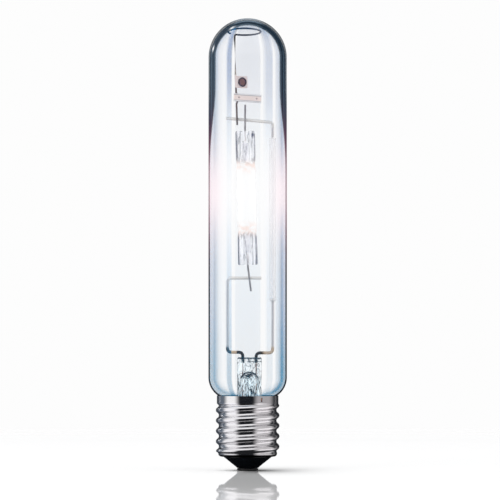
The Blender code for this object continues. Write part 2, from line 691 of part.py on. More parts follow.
def make_frame_rods():
    rod_foot = STEM_TOP_Z - ROD_DEPTH_IN_PRESS
    left = [
        (PRESS_X - LEAD_SPREAD, 0, rod_foot),
        (PRESS_X - LEAD_SPREAD, 0, LEFT_FOOT_Z),
        (LEFT_ROD_X, BAR_Y, LEFT_FOOT_Z),
        (LEFT_ROD_X, BAR_Y, LOWER_BAR_Z),
        (LOWER_BAR_END_X, BAR_Y, LOWER_BAR_Z),
    ]
    right = [
        (PRESS_X + LEAD_SPREAD, 0, rod_foot),
        (PRESS_X + LEAD_SPREAD, 0, RIGHT_FOOT_Z),
        (RIGHT_ROD_X, BAR_Y, RIGHT_FOOT_Z),
        (RIGHT_ROD_X, BAR_Y, UPPER_BAR_Z),
        (UPPER_BAR_END_X, BAR_Y, UPPER_BAR_Z + UPPER_BAR_RISE),
    ]
    wire("frame_rod_left", bent(left, BEND_RADIUS), ROD_RADIUS, "steel_rod", 3)
    wire("frame_rod_right", bent(right, BEND_RADIUS), ROD_RADIUS, "steel_rod", 3)


def make_rod_sleeve():
    """The quartz sleeve that keeps the right rod from the arc tube, and the stop it rests on."""
    tube = [
        (SLEEVE_RADIUS, SLEEVE_TOP_Z),
        (SLEEVE_RADIUS, SLEEVE_BOTTOM_Z),
        (SLEEVE_BORE, SLEEVE_BOTTOM_Z),
        (SLEEVE_BORE, SLEEVE_TOP_Z),
    ]
    stop_top = SLEEVE_BOTTOM_Z - SEAT_GAP
    collar = [
        (SLEEVE_RADIUS - EDGE_ROUNDING, stop_top),
        (SLEEVE_RADIUS, stop_top - STOP_HEIGHT / 2),
        (SLEEVE_RADIUS - EDGE_ROUNDING, stop_top - STOP_HEIGHT),
        (SLEEVE_BORE, stop_top - STOP_HEIGHT),
        (SLEEVE_BORE, stop_top),
    ]
    for name, profile, finish in (
        ("rod_sleeve", tube, "quartz"),
        ("sleeve_stop", collar, "nickel"),
    ):
        piece = turned(name, profile, finish, SMALL_SIDES)
        piece.location = (RIGHT_ROD_X, BAR_Y, 0)


def make_support_wire():
    """Up from the upper bar past both getters, leaning back to the loop that braces in the dome."""
    front, back = loop_reach()
    centre_y = (front + back) / 2
    half_depth = (back - front) / 2
    first = math.pi - LOOP_ENTRY
    last = first - math.tau + LOOP_OPENING
    steps = 24
    loop = []
    for i in range(steps + 1):
        angle = first + (last - first) * i / steps
        y = centre_y + half_depth * math.sin(angle)
        loop.append((LOOP_X + LOOP_HALF_WIDTH * math.cos(angle), y, loop_height(y)))
    foot_z = upper_bar_z(SUPPORT_FOOT_X) - SUPPORT_TAIL
    slope = (SUPPORT_X - SUPPORT_FOOT_X) / (PLATE_Z - foot_z)
    riser = [(SUPPORT_FOOT_X, 0, foot_z)]
    for height in (STRIP_Z - JOG_REACH, STRIP_Z + JOG_REACH, PLATE_Z, PLATE_Z + PLATE_HEIGHT / 2):
        riser.append((SUPPORT_FOOT_X + slope * (height - foot_z), 0, height))
    riser.insert(2, (SUPPORT_X + STRIP_JOG, 0, STRIP_Z))
    path = bent(riser + loop[:2], SUPPORT_BEND, 3)
    wire("top_support_wire", path + loop[2:], SUPPORT_RADIUS, "steel_rod")


def upper_bar_z(x):
    """The height of the upper bar's centreline, which climbs away from the right rod."""
    return UPPER_BAR_Z + UPPER_BAR_RISE * (RIGHT_ROD_X - x) / (RIGHT_ROD_X - UPPER_BAR_END_X)


def loop_height(y):
    """The loop's plane tips up towards the front."""
    return LOOP_Z - y * math.tan(LOOP_TILT)


def loop_reach():
    """How far the loop goes forwards and back before it meets the dome's inner wall."""
    inner_radius = BULB_RADIUS - BULB_WALL
    inner_height = BULB_RADIUS - CROWN_WALL
    found = []
    for direction in (-1, 1):
        y = direction * inner_radius / 2
        for _ in range(12):
            rise = (loop_height(y) + SUPPORT_RADIUS - CROWN_Z) / inner_height
            wall = inner_radius * math.sqrt(max(0.0, 1 - rise**2))
            reach = wall - SUPPORT_RADIUS - 2 * SEAT_GAP
            y = direction * math.sqrt(max(0.0, reach**2 - LOOP_X**2))
        found.append(y)
    return found


# Getters: a powder cup in a square plate, and a strip with rolled edges.


def make_getter_cup():
    front_y = -SUPPORT_RADIUS - SEAT_GAP
    holder = bpy.data.objects.new("getter_axis", None)
    bpy.data.collections["metal_halide_lamp"].objects.link(holder)
    holder.location = (SUPPORT_X, front_y, PLATE_Z)
    holder.rotation_euler.z = PLATE_TURN
    plate_centre = PLATE_WIDTH / 2 - PLATE_OVERLAP
    cup_x = plate_centre + CUP_OFFSET
    plate = block(
        "getter_plate", (PLATE_WIDTH, SHEET_THICKNESS, PLATE_HEIGHT),
        (plate_centre, -SHEET_THICKNESS / 2, 0), "nickel",
    )
    body_radius = CUP_RADIUS - CUP_WALL
    hole = rod_cutter("cup_hole", body_radius + SEAT_GAP, -CUP_DEPTH, CUP_DEPTH, sides=TUBE_SIDES)
    flange_top = SHEET_THICKNESS + SEAT_GAP + CUP_WALL
    cup_profile = [
        (0.0, flange_top - CUP_DEPTH + CUP_WALL),
        (body_radius - CUP_WALL, flange_top - CUP_DEPTH + CUP_WALL),
        (body_radius - CUP_WALL, flange_top),
        (CUP_RADIUS, flange_top),
        (CUP_RADIUS + EDGE_ROUNDING, flange_top - CUP_WALL),
        (body_radius, flange_top - CUP_WALL),
        (body_radius, flange_top - CUP_DEPTH),
        (0.0, flange_top - CUP_DEPTH),
    ]
    cup = turned("getter_cup", cup_profile, "nickel")
    pellet_radius = body_radius - CUP_WALL - WINDING_GAP
    pellet_floor = flange_top - CUP_DEPTH + CUP_WALL + WINDING_GAP
    pellet_profile = [
        (0.0, flange_top - EDGE_ROUNDING),
        (pellet_radius - EDGE_ROUNDING, flange_top - EDGE_ROUNDING / 2),
        (pellet_radius, flange_top - CUP_WALL),
        (pellet_radius, pellet_floor),
        (0.0, pellet_floor),
    ]
    pellet = turned("getter_pellet", pellet_profile, "getter_powder")
    for piece in (hole, cup, pellet):
        piece.rotation_euler.x = math.radians(90.0)
        piece.location.x = cup_x
    for piece in (plate, hole, cup, pellet):
        piece.parent = holder
    subtract(plate, hole)


def make_getter_strip():
    """A flat strip whose two long edges are rolled round, drawn as its section and extruded."""
    half = STRIP_HEIGHT / 2 - STRIP_EDGE_RADIUS
    web = SHEET_THICKNESS / 2
    dip = math.asin(web / STRIP_EDGE_RADIUS)
    upper = arc((0.0, half), STRIP_EDGE_RADIUS, -math.pi / 2 + dip, 3 * math.pi / 2 - dip, 8)
    lower = arc((0.0, -half), STRIP_EDGE_RADIUS, math.pi / 2 + dip, 5 * math.pi / 2 - dip, 8)
    curve = bpy.data.curves.new("getter_strip", "CURVE")
    curve.dimensions = "2D"
    curve.fill_mode = "BOTH"
    curve.extrude = STRIP_LENGTH / 2
    outline = upper + lower
    spline = curve.splines.new("POLY")
    spline.points.add(len(outline) - 1)
    for slot, (x, y) in zip(spline.points, outline):
        slot.co = (x, y, 0.0, 1.0)
    spline.use_cyclic_u = True
    strip = add("getter_strip", curve, "nickel")
    strip.rotation_mode = "QUATERNION"
    lie_along_x = Vector((0, 0, 1)).rotation_difference(Vector((1, 0, 0)))
    stand_up = Vector((0, 1, 0))
    stand_up.rotate(lie_along_x)
    turn = stand_up.rotation_difference(Vector((0, 0, 1)))
    strip.rotation_quaternion = turn @ lie_along_x
    slope = Vector((1, 0, 0)).rotation_difference(
        Vector((math.cos(STRIP_SLOPE), 0, -math.sin(STRIP_SLOPE)))
    )
    strip.rotation_quaternion = slope @ strip.rotation_quaternion
    strip.location = (STRIP_X, -SUPPORT_RADIUS - SEAT_GAP - STRIP_EDGE_RADIUS, STRIP_Z)


# Arc tube: a quartz tube pressed flat at both ends round foils, electrodes and leads.

FOIL_START = CAVITY_HALF + FOIL_SETBACK
FOIL_END = FOIL_START + FOIL_LENGTH


def quartz_ring(share, scale, height, count=TUBE_SIDES + 4):
    """A section between the round body at share 0 and the pinch, with its two rims, at share 1."""
    ring = []
    half_width = BODY_RADIUS + (PINCH_WIDTH / 2 - BODY_RADIUS) * share
    for i in range(count):
        angle = math.tau * i / count
        across = math.cos(angle)
        along = math.sin(angle)
        edge = abs(across)
        swell = smooth((edge - PINCH_RIM_START) / PINCH_RIM_BLEND)
        thick = PINCH_WEB / 2 + (PINCH_RIM - PINCH_WEB) / 2 * swell
        past_flat = max(0.0, edge - 1 + PINCH_EDGE) / PINCH_EDGE
        rounding = math.sqrt(max(0.0, 1 - past_flat**2))
        pinched = math.copysign(thick * rounding, along) if abs(along) > 1e-9 else 0.0
        x = half_width * across * scale
        y = (BODY_RADIUS * along * (1 - share) + pinched * share) * scale
        ring.append((x, y, height))
    return ring


def arc_tube_half():
    """Rings of the upper half of the quartz, from the middle of the body to the pinch's end."""
    return [
        quartz_ring(0.0, 1.0, BODY_HALF - 0.0072),
        quartz_ring(0.03, 0.985, BODY_HALF - 0.0048),
        quartz_ring(0.20, 0.960, BODY_HALF - 0.0026),
        quartz_ring(0.55, 0.935, BODY_HALF - 0.0010),
        quartz_ring(0.86, 0.940, BODY_HALF + 0.0004),
        quartz_ring(1.0, 0.970, BODY_HALF + 0.0022),
        quartz_ring(1.0, 1.0, PINCH_REACH - 0.0014),
        quartz_ring(1.0, 0.985, PINCH_REACH - 0.0004),
        quartz_ring(1.0, 0.93, PINCH_REACH),
    ]


def make_arc_tube(axis):
    upper = arc_tube_half()
    lower = [[(x, y, -z) for x, y, z in ring] for ring in reversed(upper)]
    tube = loft("arc_tube", lower + upper, "quartz")
    dome = CAVITY_RADIUS * 0.85
    ends = []
    for i in range(6):
        angle = math.pi / 2 * i / 5
        ends.append((CAVITY_RADIUS * math.sin(angle), CAVITY_HALF - dome + dome * math.cos(angle)))
    cavity = turned("arc_chamber", ends + [(r, -z) for r, z in reversed(ends)])
    cutters = [cavity]
    for side, name in ((1, "upper"), (-1, "lower")):
        reaches = (
            ("shank_bore", SHANK_RADIUS + SEAT_GAP, CAVITY_HALF - BORE_OVERLAP, FOIL_START + SEAT_GAP),
            ("lead_bore", ARC_LEAD_RADIUS + SEAT_GAP, FOIL_END - SEAT_GAP, PINCH_REACH + BORE_OVERLAP),
        )
        for label, radius, near, far in reaches:
            low, high = sorted((side * near, side * far))
            cutters.append(rod_cutter(f"{name}_{label}", radius, low, high, sides=BORE_SIDES))
        cutters.append(
            block(
                f"{name}_foil_slot",
                (FOIL_WIDTH + 2 * SEAT_GAP, FOIL_THICKNESS + 2 * SEAT_GAP, FOIL_LENGTH + SEAT_GAP),
                (0, 0, side * (FOIL_START + FOIL_END) / 2),
            )
        )
    for piece in (tube, *cutters):
        piece.parent = axis
    subtract(tube, *cutters)


def make_electrodes(axis):
    """At each end: shank, coil, foil and outer lead."""
    tip = CAVITY_HALF - ELECTRODE_REACH
    coil_radius = SHANK_RADIUS + WINDING_GAP + COIL_WIRE_RADIUS
    ends = (
        (1, "upper", UPPER_LEAD_LENGTH, UPPER_LEAD_BEND),
        (-1, "lower", LOWER_LEAD_LENGTH, LOWER_LEAD_BEND),
    )
    for side, name, length, bend in ends:
        shank = wire(
            f"{name}_electrode",
            [(0, 0, side * tip), (0, 0, side * (FOIL_START - SEAT_GAP))],
            SHANK_RADIUS, "tungsten",
        )
        coil_path = []
        for i in range(COIL_TURNS * COIL_POINTS + 1):
            turns = i / COIL_POINTS
            angle = math.tau * turns
            height = side * (tip + TIP_BARE + COIL_WIRE_RADIUS + turns * COIL_PITCH)
            coil_path.append((coil_radius * math.cos(angle), coil_radius * math.sin(angle), height))
        coil = wire(f"{name}_electrode_coil", coil_path, COIL_WIRE_RADIUS, "tungsten", 1)
        foil = block(
            f"{name}_foil",
            (FOIL_WIDTH, FOIL_THICKNESS, FOIL_LENGTH - 2 * SEAT_GAP),
            (0, 0, side * (FOIL_START + FOIL_END) / 2),
            "molybdenum",
        )
        lead_start = (0, 0, side * (FOIL_END + SEAT_GAP))
        knee = (0, 0, side * (PINCH_REACH + LEAD_KNEE))
        beyond = length - LEAD_KNEE
        lead_end = (beyond * math.sin(bend), 0, knee[2] + side * beyond * math.cos(bend))
        lead_path = bent([lead_start, knee, lead_end], LEAD_KNEE_RADIUS, 3)
        lead = wire(f"{name}_lead", lead_path, ARC_LEAD_RADIUS, "molybdenum")
        for piece in (shank, coil, foil, lead):
            piece.parent = axis


def make_burner():
    axis = bpy.data.objects.new("arc_tube_axis", None)
    bpy.data.collections["metal_halide_lamp"].objects.link(axis)
    axis.location = (ARC_TUBE_X, 0, ARC_TUBE_Z)
    axis.rotation_euler.y = ARC_TUBE_LEAN
    make_arc_tube(axis)
    make_electrodes(axis)


start_scene()
make_outer_bulb()
make_cap_shell()
make_insulator()
make_contact()
make_cement()
make_stem()
make_exhaust_tube()
make_lead_in_wires()
make_frame_rods()
make_rod_sleeve()
make_support_wire()
make_getter_cup()
make_getter_strip()
make_burner()
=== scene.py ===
import bpy
import numpy as np
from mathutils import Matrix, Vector


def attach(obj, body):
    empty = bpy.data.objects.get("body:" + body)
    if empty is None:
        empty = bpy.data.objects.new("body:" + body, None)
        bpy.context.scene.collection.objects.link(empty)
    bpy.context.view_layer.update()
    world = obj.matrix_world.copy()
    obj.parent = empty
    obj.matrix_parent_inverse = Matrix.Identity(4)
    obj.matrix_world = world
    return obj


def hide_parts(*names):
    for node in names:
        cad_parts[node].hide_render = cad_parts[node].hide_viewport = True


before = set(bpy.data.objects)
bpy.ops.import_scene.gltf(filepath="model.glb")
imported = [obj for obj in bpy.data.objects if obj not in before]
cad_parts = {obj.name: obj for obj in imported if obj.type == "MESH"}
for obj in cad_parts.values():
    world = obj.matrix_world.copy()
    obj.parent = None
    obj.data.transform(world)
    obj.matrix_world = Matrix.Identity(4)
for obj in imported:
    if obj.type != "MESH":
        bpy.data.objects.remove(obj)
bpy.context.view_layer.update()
bpy.context.scene.view_settings.view_transform = "Standard"
# a look through the lamp meets many walls of glass
bpy.context.scene.cycles.transparent_max_bounces = 64


# Arc tube. Clear quartz, filled and then closed by pressing each hot end flat round its foil.
# The press leaves a thin web between two thick rims. It is lit, so its body glows white,
# and peach towards its ends.
# On its pressed ends the bright and dark lines are painted highlights and painted shade, and a small
# dark spot is a painted reflection.

ARC_TUBE_X = -0.0007
ARC_TUBE_Z = 0.1668
ARC_TUBE_LEAN = np.radians(-1.2)
BODY_RADIUS = 0.00625
BODY_HALF = 0.0210
PINCH_REACH = 0.0410
PINCH_WIDTH = 0.0119
PINCH_WEB = 0.0027
PINCH_RIM = 0.0040
CHAMBER_RADIUS = 0.0052
CHAMBER_HALF = 0.0185
PAINTED_SPOT_X = 0.0032
PAINTED_SPOT_Z = 0.2054


def sign(operation):
    """What an arithmetic sign does with the reading on its left, and with the one on its right."""
    return (
        lambda self, other: self.maths(operation, self, other),
        lambda self, other: self.maths(operation, other, self),
    )


class Reading:
    """A number inside a finish. Each arithmetic sign on it adds the Math node of that name."""

    def __init__(self, finish, socket):
        self.finish = finish
        self.socket = socket

    def maths(self, operation, *values):
        return self.finish.node("ShaderNodeMath", {"operation": operation}, dict(enumerate(values)))

    __add__, __radd__ = sign("ADD")
    __sub__, __rsub__ = sign("SUBTRACT")
    __mul__, __rmul__ = sign("MULTIPLY")
    __truediv__, __rtruediv__ = sign("DIVIDE")
    __pow__, __rpow__ = sign("POWER")

    def __abs__(self):
        return self.maths("ABSOLUTE", self)

    def between(self, low, high, start=0.0, end=1.0):
        """An even rise from start to end while the reading goes from low to high."""
        sockets = {"Value": self, "From Min": low, "From Max": high, "To Min": start, "To Max": end}
        return self.finish.node("ShaderNodeMapRange", {"interpolation_type": "SMOOTHSTEP"}, sockets)

    def band(self, middle, width):
        """A bell of the given half width round the middle."""
        return 2.718 ** (((self - middle) / width) ** 2.0 * -1.0)

    def bearing(self, ahead):
        """The degrees from straight ahead to a spot that is this far to the right."""
        return self.maths("ARCTAN2", self, ahead) * (180 / np.pi)


class Finish:
    """The nodes of one finish. Every node comes from node(), and the rest are uses of it."""

    def __init__(self, name, room=None):
        self.owner = room or bpy.data.materials.new(name)
        self.owner.use_nodes = True
        self.tree = self.owner.node_tree
        self.tree.nodes.clear()

    def node(self, kind, settings=None, sockets=None, out=0):
        """Adds a node, sets what it is first and then its sockets, and gives one output."""
        made = self.tree.nodes.new(kind)
        for name, value in (settings or {}).items():
            if name == "stops":
                stops = made.color_ramp.elements
                while len(stops) < len(value):
                    stops.new(0.5)
                for stop, (place, colour) in zip(stops, value):
                    stop.position = place
                    stop.color = (*colour, 1.0)
            else:
                setattr(made, name, value)
        for name, value in (sockets or {}).items():
            socket = made.inputs[name]
            if isinstance(value, Reading):
                self.tree.links.new(value.socket, socket)
            elif socket.type == "RGBA":
                socket.default_value = (*value, 1.0)
            else:
                socket.default_value = value
        return None if out is None else Reading(self, made.outputs[out])

    def place(self):
        """x, y and z on the lamp."""
        spot = self.node("ShaderNodeTexCoord", out="Object")
        return [
            self.node("ShaderNodeSeparateXYZ", sockets={"Vector": spot}, out=axis)
            for axis in ("X", "Y", "Z")
        ]

    def mottle(self, scale, detail=3.0, stretch=(1.0, 1.0, 1.0)):
        """Noise from 0 to 1 on the lamp's own coordinates, drawn out along the axes by stretch."""
        spot = self.node("ShaderNodeTexCoord", out="Object")
        spot = self.node("ShaderNodeMapping", sockets={"Vector": spot, "Scale": stretch})
        sockets = {"Vector": spot, "Scale": scale, "Detail": detail}
        return self.node("ShaderNodeTexNoise", {"noise_dimensions": "3D"}, sockets)

    def blend(self, share, colour, other):
        """The colour, and the other one where the share is 1."""
        sockets = {0: share, 6: colour, 7: other}
        return self.node("ShaderNodeMix", {"data_type": "RGBA"}, sockets, out=2)

    def ramp(self, value, stops):
        return self.node("ShaderNodeValToRGB", {"stops": stops}, {"Fac": value})

    def facing(self):
        """0 where the surface faces the eye, and 1 where it turns away from it."""
        return self.node("ShaderNodeLayerWeight", sockets={"Blend": 0.5}, out="Facing")

    def rough(self, height, depth):
        """The normal of a surface with this relief."""
        return self.node("ShaderNodeBump", sockets={"Height": height, "Distance": depth}, out="Normal")

    def body(self, **sockets):
        named = {name.replace("_", " "): value for name, value in sockets.items()}
        return self.node("ShaderNodeBsdfPrincipled", sockets=named)

    def mixed(self, share, shader, other):
        return self.node("ShaderNodeMixShader", sockets={0: share, 1: shader, 2: other})

    def clear(self, tint, gloss, least=0.04, rise=5.0):
        """Clear glass as a thin wall: it lets straight through what it doesn't mirror."""
        mirrored = least + (1 - least) * self.facing() ** rise
        through = self.node("ShaderNodeBsdfTransparent", sockets={"Color": tint})
        mirror = self.node(
            "ShaderNodeBsdfAnisotropic", sockets={"Color": (1.0, 1.0, 1.0), "Roughness": gloss}
        )
        return self.mixed(mirrored, through, mirror)

    def done(self, shader):
        kind = "World" if isinstance(self.owner, bpy.types.World) else "Material"
        self.node(f"ShaderNodeOutput{kind}", sockets={"Surface": shader}, out=None)
        return self


def smooth(share):
    """3 s^2 - 2 s^3 of a share that is kept between 0 and 1."""
    share = np.clip(share, 0.0, 1.0)
    return share * share * (3 - 2 * share)


def profile(*runs):
    """Joins runs of radii and heights, where either may be one number for the whole run."""
    runs = [np.broadcast_arrays(*np.atleast_1d(radius, height)) for radius, height in runs]
    return [np.concatenate(column) for column in zip(*runs)]


def rings(radius, height, sides):
    """Turns a profile about Z: ring i is radius[i] (cos b, sin b) at height[i]."""
    bearing = np.linspace(0, 2 * np.pi, sides, endpoint=False)
    radius, height = np.asarray(radius, float)[:, None], np.asarray(height, float)[:, None]
    return np.stack(
        [radius * np.cos(bearing), radius * np.sin(bearing), height + 0 * bearing], axis=-1
    )


def skin(grid, ends="poles"):
    """Points and faces of a surface from grid[i, j], where i runs along it and j round it.

    Each face joins a point to the next one round and the next one along. At "poles" a point in
    the middle of the first and of the last ring closes them, and at "loop" they join each other.
    """
    count, sides = grid.shape[:2]
    here = np.arange(count * sides).reshape(count, sides)
    beside = np.roll(here, -1, axis=1)
    rows = count if ends == "loop" else count - 1
    low, low_beside = here[:rows], beside[:rows]
    high, high_beside = (np.roll(table, -1, axis=0)[:rows] for table in (here, beside))
    quads = np.stack([low, low_beside, high_beside, high], axis=-1).reshape(-1, 4)
    points = grid.reshape(-1, 3)
    if ends == "loop":
        return points, [quads]
    points = np.concatenate([points, grid[:1].mean(axis=1), grid[-1:].mean(axis=1)])
    foot, top = np.full(sides, count * sides), np.full(sides, count * sides + 1)
    return points, [
        quads,
        np.stack([foot, beside[0], here[0]], axis=-1),
        np.stack([top, here[-1], beside[-1]], axis=-1),
    ]


def outwards(points, faces):
    """Turns every face over where the volume inside them, a sum of tetrahedra, is negative."""
    volume = 0.0
    for group in faces:
        for k in range(1, group.shape[1] - 1):
            a, b, c = points[group[:, 0]], points[group[:, k]], points[group[:, k + 1]]
            volume += np.einsum("ij,ij->i", a, np.cross(b, c)).sum()
    return [group[:, ::-1] if volume < 0 else group for group in faces]


def piece(name, surfaces, finish, slot, *nodes, hollow=(), sharp=35.0):
    """Makes a piece of the lamp from closed surfaces. Those numbered in hollow face inwards."""
    points, faces, start = [], [], 0
    for number, (own, groups) in enumerate(surfaces):
        for group in outwards(own, groups):
            group = group[:, ::-1] if number in hollow else group
            faces += (group + start).tolist()
        points.append(own)
        start += len(own)
    mesh = bpy.data.meshes.new(name)
    mesh.from_pydata(np.concatenate(points), [], faces)
    mesh.shade_smooth()
    mesh.set_sharp_from_angle(angle=np.radians(sharp))
    mesh.materials.append(finish.owner)
    made = bpy.data.objects.new(name, mesh)
    bpy.context.scene.collection.objects.link(made)
    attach(made, "root")
    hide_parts(*nodes)
    return made


def on_burner(grid):
    """Leans what is drawn round the burner's own axis, and moves it to its place."""
    x, y, z = np.moveaxis(grid, -1, 0)
    leaning = (
        x * np.cos(ARC_TUBE_LEAN) + z * np.sin(ARC_TUBE_LEAN),
        y,
        z * np.cos(ARC_TUBE_LEAN) - x * np.sin(ARC_TUBE_LEAN),
    )
    return np.stack(leaning, axis=-1) + np.array([ARC_TUBE_X, 0, ARC_TUBE_Z])


def quartz_rings(height, sides=72):
    """Sections that go from the round body to the pinch, a web with a thick rim at each side.

    Across, a section is the half width times cos b. Through, it is the radius times sin b where
    the tube is round, and the web's or rim's half thickness with a rounded edge where pressed.
    """
    height = height[:, None]
    beyond = np.abs(height) - BODY_HALF
    b = np.linspace(0, 2 * np.pi, sides, endpoint=False)
    pressed = smooth((beyond + 0.0048) / 0.0068)
    last = np.clip((np.abs(height) - PINCH_REACH + 0.0014) / 0.0014, 0, 1)
    narrow = 1 - 0.065 * np.exp(-(((beyond + 0.0008) / 0.0026) ** 2))
    narrow = narrow - 0.07 * (1 - np.sqrt(1 - last**2))
    half_width = BODY_RADIUS + (PINCH_WIDTH / 2 - BODY_RADIUS) * pressed
    edge = np.abs(np.cos(b))
    thick = PINCH_WEB / 2 + (PINCH_RIM - PINCH_WEB) / 2 * smooth((edge - 0.40) / 0.30)
    rounding = np.sqrt(1 - (np.clip(edge - 0.66, 0, None) / 0.34) ** 2)
    flat = np.sign(np.sin(b)) * thick * rounding
    x = half_width * np.cos(b) * narrow
    y = (BODY_RADIUS * np.sin(b) * (1 - pressed) + flat * pressed) * narrow
    return np.stack([x, y, height + 0 * b], axis=-1)


upper_half = np.concatenate(
    [
        np.linspace(0, 0.0140, 8, endpoint=False),
        np.linspace(0.0140, 0.0240, 40, endpoint=False),
        np.linspace(0.0240, PINCH_REACH - 0.0014, 24, endpoint=False),
        PINCH_REACH - 0.0014 * (1 - np.sin(np.linspace(0, np.pi / 2, 7))),
    ]
)
quartz_side = quartz_rings(np.concatenate([-upper_half[:0:-1], upper_half]))
dome = np.linspace(0, np.pi / 2, 16)
chamber_radius = CHAMBER_RADIUS * np.sin(dome[1:])
chamber_height = CHAMBER_HALF - 0.85 * CHAMBER_RADIUS * (1 - np.cos(dome[1:]))
chamber_ends = profile((chamber_radius, chamber_height), (chamber_radius[::-1], -chamber_height[::-1]))
chamber = rings(*chamber_ends, 64)

quartz = Finish("quartz_lit")
x, _, z = quartz.place()
from_middle = abs(z - ARC_TUBE_Z)
facing = quartz.facing()
cloud = quartz.mottle(330.0, 3.0)
lit = (from_middle + 0.003 * cloud).between(0.0215, 0.0270, 1.0, 0.0)
warm = from_middle.between(0.0130, 0.0195) * cloud.between(0.40, 0.56)
# painted shade: the quartz is darker where it turns away from the eye
quartz_edge_shade = facing.between(0.30, 0.66)
# painted highlights and painted shade: bright and dark lines drawn from a noise over the pressed ends
painted_lines = quartz.mottle(700.0, 1.5, (1.0, 1.0, 0.10))
painted_dark_lines = painted_lines.band(0.56, 0.025) + 0.5 * facing.band(0.10, 0.03)
painted_bright_lines = painted_lines.between(0.50, 0.44)
glow = quartz.blend(warm, (1.0, 1.0, 1.0), (0.95, 0.79, 0.73))
axis_x = ARC_TUBE_X + (z - ARC_TUBE_Z) * float(np.tan(ARC_TUBE_LEAN))
# painted shade: dark lines along the pinch's thick rims, fainter at the upper right
rim_shade_lines = abs(x - axis_x).band(PINCH_WIDTH / 2 - 0.0006, 0.00045)
rim_shade_lines = rim_shade_lines * painted_lines.between(0.62, 0.50, 0.35, 1.0)
upper_right = z.between(0.166, 0.168) * x.between(-0.001, 0.001)
rim_shade_lines = rim_shade_lines * (1.0 - 0.7 * upper_right)
# a painted dark reflection: a small dark spot near the top of the upper pinch
seal = ((x - PAINTED_SPOT_X) / 0.0008) ** 2.0 + ((z - PAINTED_SPOT_Z) / 0.0015) ** 2.0
seal = (seal**0.5).band(0.0, 1.0)
painted_bright_lines = painted_bright_lines * (1.0 - rim_shade_lines) * (1.0 - seal)
# the pressed ends glow white along the bright lines, as painted highlights
pressed = quartz.blend(painted_bright_lines, (0.0, 0.0, 0.0), (1.0, 1.0, 1.0))
shade = quartz.body(
    Base_Color=quartz.blend(lit, (0.045, 0.045, 0.10), (0.0, 0.0, 0.0)),
    Roughness=0.08 + 0.1 * cloud,
    Emission_Color=quartz.blend(lit, pressed, glow),
    Emission_Strength=1.0,
)
body_share = 0.72 - 0.22 * quartz_edge_shade + 0.15 * warm
press_share = quartz_edge_shade * 0.90 + 0.42 * painted_dark_lines + 0.42 * painted_bright_lines + 0.50 * rim_shade_lines + 0.9 * seal
solid_share = lit * body_share + (1.0 - lit) * press_share
quartz.done(quartz.mixed(solid_share, quartz.clear((0.994, 0.996, 1.0), 0.03, 0.015), shade))
piece(
    "arc_tube_quartz", [skin(on_burner(quartz_side)), skin(on_burner(chamber))],
    quartz, "quartz_glass", "arc_tube", hollow=(1,),
)


# Electrodes, foils and leads. At each end a tungsten shank with a wound coil stands in the arc
# tube, a thin molybdenum foil carries the current through the pinch, and a wire leads out of it.

FOIL_START = 0.0219
FOIL_END = 0.0339
FOIL_HALF_WIDTH = 0.0017
FOIL_HALF_THICK = 0.00007
LEAD_KNEE = 0.0016
COIL_PITCH = 0.00072
SHANK_RADIUS = 0.0004
LEAD_WIRE_RADIUS = 0.00055
COIL_WIRE_RADIUS = 0.00028
ELECTRODE_TIP = 0.0125


def unit(vectors):
    return vectors / np.maximum(np.linalg.norm(vectors, axis=-1, keepdims=True), 1e-12)


def bent(corners, radius, steps=10):
    """A wire's path with an arc at each corner: start + r (sin a onward + (1 - cos a) inward)."""
    corners = np.array(corners, float)
    path = [corners[:1]]
    for before, corner, after in zip(corners, corners[1:], corners[2:]):
        onward, leaving = unit(corner - before), unit(after - corner)
        turn = np.arccos(np.clip(onward @ leaving, -1, 1))
        inward = unit(leaving - (onward @ leaving) * onward)
        a = np.linspace(0, turn, steps)[:, None]
        start = corner - onward * radius * np.tan(turn / 2)
        path.append(start + radius * (np.sin(a) * onward + (1 - np.cos(a)) * inward))
    return np.concatenate(path + [corners[-1:]])


def wire(path, radius, square_to=(0.0, 1.0, 0.0), sides=20):
    """A round wire: ring i is path[i] + r (cos b across + sin b up), with its cut ends rounded.

    Across is square to the wire and to the direction square_to, and up is square to both.
    """
    path = np.asarray(path, float)
    worn = 0.25 * radius
    steps = np.array([0.0, 0.3, 1.0])[:, None] * worn
    first, last = unit(path[1] - path[0]), unit(path[-2] - path[-1])
    ends = (path[0] + steps * first, (path[-1] + steps * last)[::-1])
    thickness = np.full(len(path) + 4, radius)
    thickness[[0, -1]] = radius - worn
    thickness[[1, -2]] = radius - 0.29 * worn
    square_to = np.asarray(square_to, float)
    if square_to.ndim == 2:
        square_to = np.pad(square_to, ((2, 2), (0, 0)), mode="edge")
    path = np.concatenate([ends[0], path[1:-1], ends[1]])
    along = unit(np.gradient(path, axis=0))
    across = unit(np.cross(square_to, along))
    up = np.cross(along, across)
    b = np.linspace(0, 2 * np.pi, sides, endpoint=False)[:, None]
    ring = np.cos(b) * across[:, None] + np.sin(b) * up[:, None]
    return path[:, None] + thickness[:, None, None] * ring


def drawn_metal(name, colour, stain, roughness, glare=0.0):
    """Drawn wire: fine lines along it, and patches that the welding heat has stained.

    Near the middle of the arc tube the light of the arc washes its colour out, as far as glare.
    """
    finish = Finish(name)
    patches = finish.mottle(120.0, 4.0).between(0.45, 0.62)
    lines = finish.mottle(900.0, 2.0, (1.0, 1.0, 0.12))
    z = finish.place()[2]
    from_arc = abs(z - ARC_TUBE_Z)
    near = from_arc.between(0.032, 0.0425, glare, 0.0)
    return finish.done(
        finish.body(
            Base_Color=finish.blend(patches, colour, stain),
            Metallic=0.6,
            Roughness=roughness + 0.16 * lines,
            Emission_Color=finish.blend(near, (0.0, 0.0, 0.0), (1.0, 0.97, 0.96)),
            Emission_Strength=1.0,
            Normal=finish.rough(lines, 0.00002),
        )
    )


tungsten = drawn_metal("tungsten_electrode", (0.36, 0.36, 0.37), (0.22, 0.22, 0.24), 0.34, 0.8)
molybdenum = drawn_metal("molybdenum_lead", (0.44, 0.41, 0.41), (0.30, 0.27, 0.28), 0.26, 0.75)

